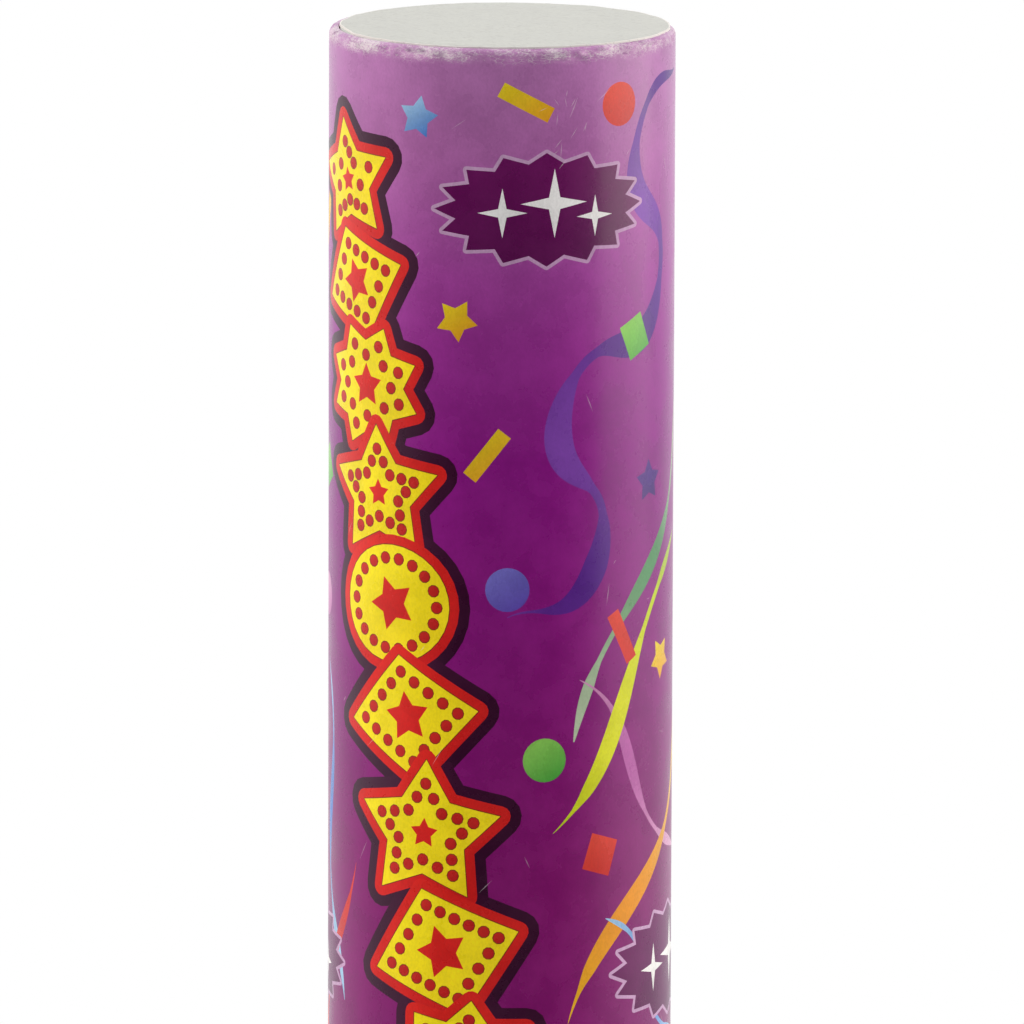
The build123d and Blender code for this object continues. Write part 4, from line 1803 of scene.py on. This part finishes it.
@dataclass
class StreamerRoll:
    """One streamer wound from its core outwards, with uneven edges and a loose end.

    Sizes are in millimetres.
    """

    number: int
    body: str = "payload"
    core: float = 5.0
    winds: int = 19
    steps: int = 40
    tape_share: float = 0.62
    ragged: float = 0.12
    side_gap: float = 0.2
    end_gap: float = 0.02

    def build(self, material: Material, slot: str) -> bpy.types.Object:
        """Builds the wound tape and puts it in the node's place.

        Args:
            material: The tape's paper.
            slot: The record's slot for it. It is not used.

        Returns:
            The new piece.
        """
        node = f"streamer_roll_{self.number}"
        low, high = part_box(node)
        chance = random.Random(self.number)
        reach = min(high.x, high.y) / MM - self.side_gap
        pitch = (reach - self.core) / self.winds
        tape = pitch * self.tape_share
        bottom, top = low.z / MM + self.end_gap, high.z / MM - self.end_gap
        points: list[Vector] = []
        faces: list[tuple[int, ...]] = []
        lifts = [chance.uniform(0.0, self.ragged) for _ in range(self.winds + 1)]
        for index in range(self.winds * self.steps + 1):
            wind, part = divmod(index, self.steps)
            turn = 2 * math.pi * index / self.steps + self.number
            radius = self.core + pitch * index / self.steps
            lift = lifts[wind] + (lifts[min(wind + 1, self.winds)] - lifts[wind]) * part / self.steps
            low_edge, high_edge = bottom + lift, top - lift
            for out, level in ((0.0, low_edge), (tape, low_edge), (tape, high_edge), (0.0, high_edge)):
                spoke = Vector((math.cos(turn), math.sin(turn), 0.0)) * (radius + out)
                points.append(Vector((spoke.x, spoke.y, level)) * MM)
        for index in range(self.winds * self.steps):
            here, there = 4 * index, 4 * index + 4
            for side in range(4):
                after = (side + 1) % 4
                faces.append((here + side, there + side, there + after, here + after))
        faces.append((0, 1, 2, 3))
        last = 4 * self.winds * self.steps
        faces.append((last + 3, last + 2, last + 1, last))
        mesh = bpy.data.meshes.new(node + "_tape")
        mesh.from_pydata(points, [], faces)
        mesh.update()
        piece = new_piece(node + "_tape", mesh, material)
        return put_in_place(piece, node, self.body)


class Dress:
    """Gives every carried-over node its finish."""

    finishes: dict[str, Finish] = {
        "paperboard": PlainPaper((0.36, 0.27, 0.19), 0.85, 0.0, 0.5, 0.16),
        "joiner_plastic": MouldedPlastic((0.02, 0.02, 0.022), 0.42),
        "cam_plastic": MouldedPlastic((0.70, 0.70, 0.67), 0.40),
        "spider_plastic": MouldedPlastic((0.42, 0.03, 0.03), 0.40),
        "base_plastic": MouldedPlastic((0.060, 0.050, 0.070), 0.5, 0.5, 0.00004),
        "bottle_aluminium": TurnedMetal((0.74, 0.74, 0.75), 0.30, 0.25),
        "valve_rubber": MouldedPlastic((0.015, 0.015, 0.016), 0.75, 0.2),
        "pin_steel": TurnedMetal((0.56, 0.56, 0.58), 0.24, 0.12),
        "stopper_brass": TurnedMetal((0.74, 0.52, 0.20), 0.24, 0.14),
        "wad_plastic": MouldedPlastic((0.76, 0.76, 0.72), 0.48),
        "felt": PlainPaper((0.26, 0.24, 0.22), 0.95, 0.0, 0.9, 0.35),
        "card": PlainPaper((0.46, 0.38, 0.28), 0.85, 0.0, 0.5, 0.14),
        "streamer_violet": PlainPaper((0.26, 0.08, 0.42), 0.8, 0.0, 0.3, 0.14),
        "streamer_orange": PlainPaper((0.80, 0.26, 0.03), 0.8, 0.0, 0.3, 0.14),
        "streamer_green": PlainPaper((0.26, 0.42, 0.07), 0.8, 0.0, 0.3, 0.14),
        "foil_gold": PlainPaper((0.80, 0.52, 0.12), 0.26, 1.0, 1.4, 0.12),
        "tissue_red": PlainPaper((0.60, 0.02, 0.03), 0.75, 0.0, 0.3, 0.14),
        "foil_blue": PlainPaper((0.05, 0.14, 0.56), 0.26, 0.9, 1.4, 0.14),
        "foil_green": PlainPaper((0.07, 0.40, 0.13), 0.26, 0.9, 1.4, 0.14),
        "silver_paper": PlainPaper((0.60, 0.61, 0.585), 0.6, 0.0, 0.55, 0.06, 0.25, True),
    }

    def __init__(self) -> None:
        """Builds one material for each slot."""
        self.materials = {slot: finish.build(slot) for slot, finish in self.finishes.items()}
        self.slots = {part["node"]: part["material_slot"] for part in frame["record"]["subparts"]}

    def cover(self, node: str) -> None:
        """Puts a node's finish on it.

        Args:
            node: The node's name.
        """
        mesh = frame["nodes"][node].data
        mesh.materials.clear()
        mesh.materials.append(self.materials[self.slots[node]])

    def of(self, node: str) -> Material:
        """Returns the finish of a node."""
        return self.materials[self.slots[node]]


@dataclass(frozen=True)
class Lamp:
    """A square soft lamp that points at the middle of the view.

    Turns are in degrees, and an azimuth of 0 is in front. Sizes are in metres.
    """

    name: str
    azimuth: float
    rise: float
    reach: float
    size: float
    power: float
    tint: Colour = (1.0, 1.0, 1.0)
    in_sheen: bool = False


@dataclass
class Studio:
    """Pale floor, two large warm side lamps, a top lamp and the camera.

    Sizes are in metres, and turns are in degrees. Only the right lamp shows in sheens.
    """

    view_height: float = 0.22855
    view_side: float = 0.00162
    view_width: float = 0.14853
    distance: float = 2.0
    elevation: float = 9.8
    roll: float = 0.187
    sensor: float = 36.0
    side_tint: Colour = (1.0, 0.94, 0.84)
    lamps: tuple[Lamp, ...] = (
        Lamp("side_lamp_left", -92.0, 17.0, 1.25, 1.2, 13.0, side_tint),
        Lamp("side_lamp_right", 92.0, 17.0, 1.25, 1.2, 13.0, side_tint, True),
        Lamp("top_lamp", 180.0, 78.0, 1.1, 0.9, 4.0),
    )
    ambient: float = 0.42
    dark_turn: float = 38.0
    bright_turn: float = 110.0
    floor_reach: float = 0.72
    floor_spokes: int = 64
    floor_grey: float = 0.86
    floor_roughness: float = 0.9
    floor_fade: Pair = (0.2, 0.98)
    underside_reach: float = 0.012

    def build(self) -> None:
        """Builds the stage."""
        bpy.context.scene.view_settings.view_transform = "Standard"
        self._camera()
        self._world()
        self._floor()
        for lamp in self.lamps:
            self._light(lamp)

    def _aim(self, thing: bpy.types.Object, place: Vector, roll: float = 0.0) -> None:
        """Puts a lamp or camera at a place and points it at the middle of the view.

        Args:
            thing: The lamp or camera.
            place: Where it goes.
            roll: Its turn about its own axis.
        """
        target = Vector((self.view_side, 0.0, self.view_height))
        turn = (target - place).to_track_quat("-Z", "Y").to_matrix().to_4x4()
        thing.matrix_world = Matrix.Translation(place) @ turn @ Matrix.Rotation(math.radians(roll), 4, "Z")

    def _from(self, azimuth: float, elevation: float, reach: float) -> Vector:
        """Finds a place round the middle of the view.

        Args:
            azimuth: Turn round the object. A value of 0 is in front.
            elevation: Angle over the level.
            reach: Distance from the middle of the view.

        Returns:
            The place.
        """
        turn, rise = math.radians(azimuth), math.radians(elevation)
        away = Vector((math.sin(turn) * math.cos(rise), -math.cos(turn) * math.cos(rise), math.sin(rise)))
        return Vector((self.view_side, 0.0, self.view_height)) + away * reach

    def _camera(self) -> None:
        """Adds the camera at the photograph's angle."""
        data = bpy.data.cameras.new("camera")
        data.sensor_width = self.sensor
        data.lens = self.sensor * self.distance / self.view_width
        camera = bpy.data.objects.new("camera", data)
        bpy.context.scene.collection.objects.link(camera)
        self._aim(camera, self._from(0.0, self.elevation, self.distance), self.roll)
        bpy.context.scene.camera = camera

    def _light(self, lamp: Lamp) -> None:
        """Adds a lamp.

        Args:
            lamp: The lamp.
        """
        data = bpy.data.lights.new(lamp.name, "AREA")
        data.size = lamp.size
        data.energy = lamp.power
        data.color = lamp.tint
        light = bpy.data.objects.new(lamp.name, data)
        bpy.context.scene.collection.objects.link(light)
        light.visible_glossy = lamp.in_sheen
        self._aim(light, self._from(lamp.azimuth, lamp.rise, lamp.reach))

    def _world(self) -> None:
        """Sets a white surround, dimmer as light, and dark behind the camera in reflections."""
        world = bpy.data.worlds.new("surround")
        world.use_nodes = True
        bpy.context.scene.world = world
        bench = Bench(world.node_tree)
        path = bench.add("ShaderNodeLightPath")
        ahead = bench.add("ShaderNodeTexCoord").outputs["Generated"]
        front = bench.math("MULTIPLY", bench.add("ShaderNodeSeparateXYZ", {0: ahead}).outputs[1], -1.0)
        away = bench.math("ARCCOSINE", bench.math("MINIMUM", bench.math("MAXIMUM", front, -1.0), 1.0))
        dark, bright = math.radians(self.dark_turn), math.radians(self.bright_turn)
        values = {"Value": away, "From Min": dark, "From Max": bright}
        room = bench.add("ShaderNodeMapRange", values).outputs[0]
        mirrored = bench.math("MAXIMUM", path.outputs["Is Glossy Ray"], path.outputs["Is Transmission Ray"])
        seen = bench.math("MULTIPLY", mirrored, room)
        strength = bench.math("MAXIMUM", path.outputs["Is Camera Ray"], seen)
        dim = bench.math("SUBTRACT", 1.0, bench.math("MAXIMUM", path.outputs["Is Camera Ray"], mirrored))
        strength = bench.math("ADD", strength, bench.math("MULTIPLY", dim, self.ambient))
        white = {"Color": opaque((1.0, 1.0, 1.0)), "Strength": strength}
        bench.feed(world.node_tree.nodes["Background"], white)

    def _floor(self) -> None:
        """Adds the floor, which fades into the surround at its edge and lets light through to the foot."""
        mesh = bpy.data.meshes.new("floor")
        rim = [corner.to_3d() for corner in toothed(self.floor_spokes, self.floor_reach, 0.0)]
        mesh.from_pydata(rim, [], [list(range(len(rim)))])
        material = bpy.data.materials.new("floor")
        material.use_nodes = True
        bench = Bench(material.node_tree)
        shader = material.node_tree.nodes["Principled BSDF"]
        grey = opaque((self.floor_grey, self.floor_grey, self.floor_grey))
        bench.feed(shader, {"Base Color": grey, "Roughness": self.floor_roughness})
        own = bench.add("ShaderNodeTexCoord").outputs["Object"]
        reach = bench.add("ShaderNodeVectorMath", {0: own}, operation="LENGTH").outputs["Value"]
        fade = bench.ease(reach, *(share * self.floor_reach for share in self.floor_fade))
        fade = bench.math("MAXIMUM", fade, bench.add("ShaderNodeNewGeometry").outputs["Backfacing"])
        path = bench.add("ShaderNodeLightPath")
        near = bench.math("LESS_THAN", path.outputs["Ray Length"], self.underside_reach)
        bounced = bench.math("SUBTRACT", 1.0, path.outputs["Is Camera Ray"])
        fade = bench.math("MAXIMUM", fade, bench.math("MULTIPLY", near, bounced))
        clear = bench.add("ShaderNodeBsdfTransparent").outputs[0]
        mixed = bench.add("ShaderNodeMixShader", {0: fade, 1: shader.outputs[0], 2: clear})
        bench.feed(material.node_tree.nodes["Material Output"], {"Surface": mixed.outputs[0]})
        floor = new_piece("floor", mesh, material)


def main() -> None:
    """Builds the popper's looks piece by piece, and the stage."""
    logging.basicConfig(level=logging.INFO, format="%(name)s: %(message)s")
    Studio().build()
    dress = Dress()
    barrel = PrintedWrap("barrel_wrap", "barrel", PartyPrint(), 1, 11.3)
    grip = PrintedWrap("grip_wrap", "grip", GripPrint(), -1, 47.9)
    tall = barrel.rim * MM
    pieces = [
        barrel.build(PrintedPaper(tall, barrel.crease * MM).build("barrel_print")),
        grip.build(PrintedPaper(tall, grip.crease * MM, -1.0).build("grip_print")),
        MuzzleSeal().build(barrel.rim, dress.of("muzzle_seal")),
    ]
    rolls = sorted(name for name in frame["nodes"] if name.startswith("streamer_roll_"))
    for name in rolls:
        number = int(name.rsplit("_", 1)[1])
        pieces.append(StreamerRoll(number).build(dress.of(name), dress.slots[name]))
    replaced = {"barrel_wrap", "grip_wrap", "muzzle_seal", *rolls}
    for node in sorted(set(frame["nodes"]) - replaced):
        dress.cover(node)
        LOG.info("finish on %s", node)
    for piece in pieces:
        LOG.info("piece %s has %d faces", piece.name, len(piece.data.polygons))


if __name__ == "__main__":
    main()
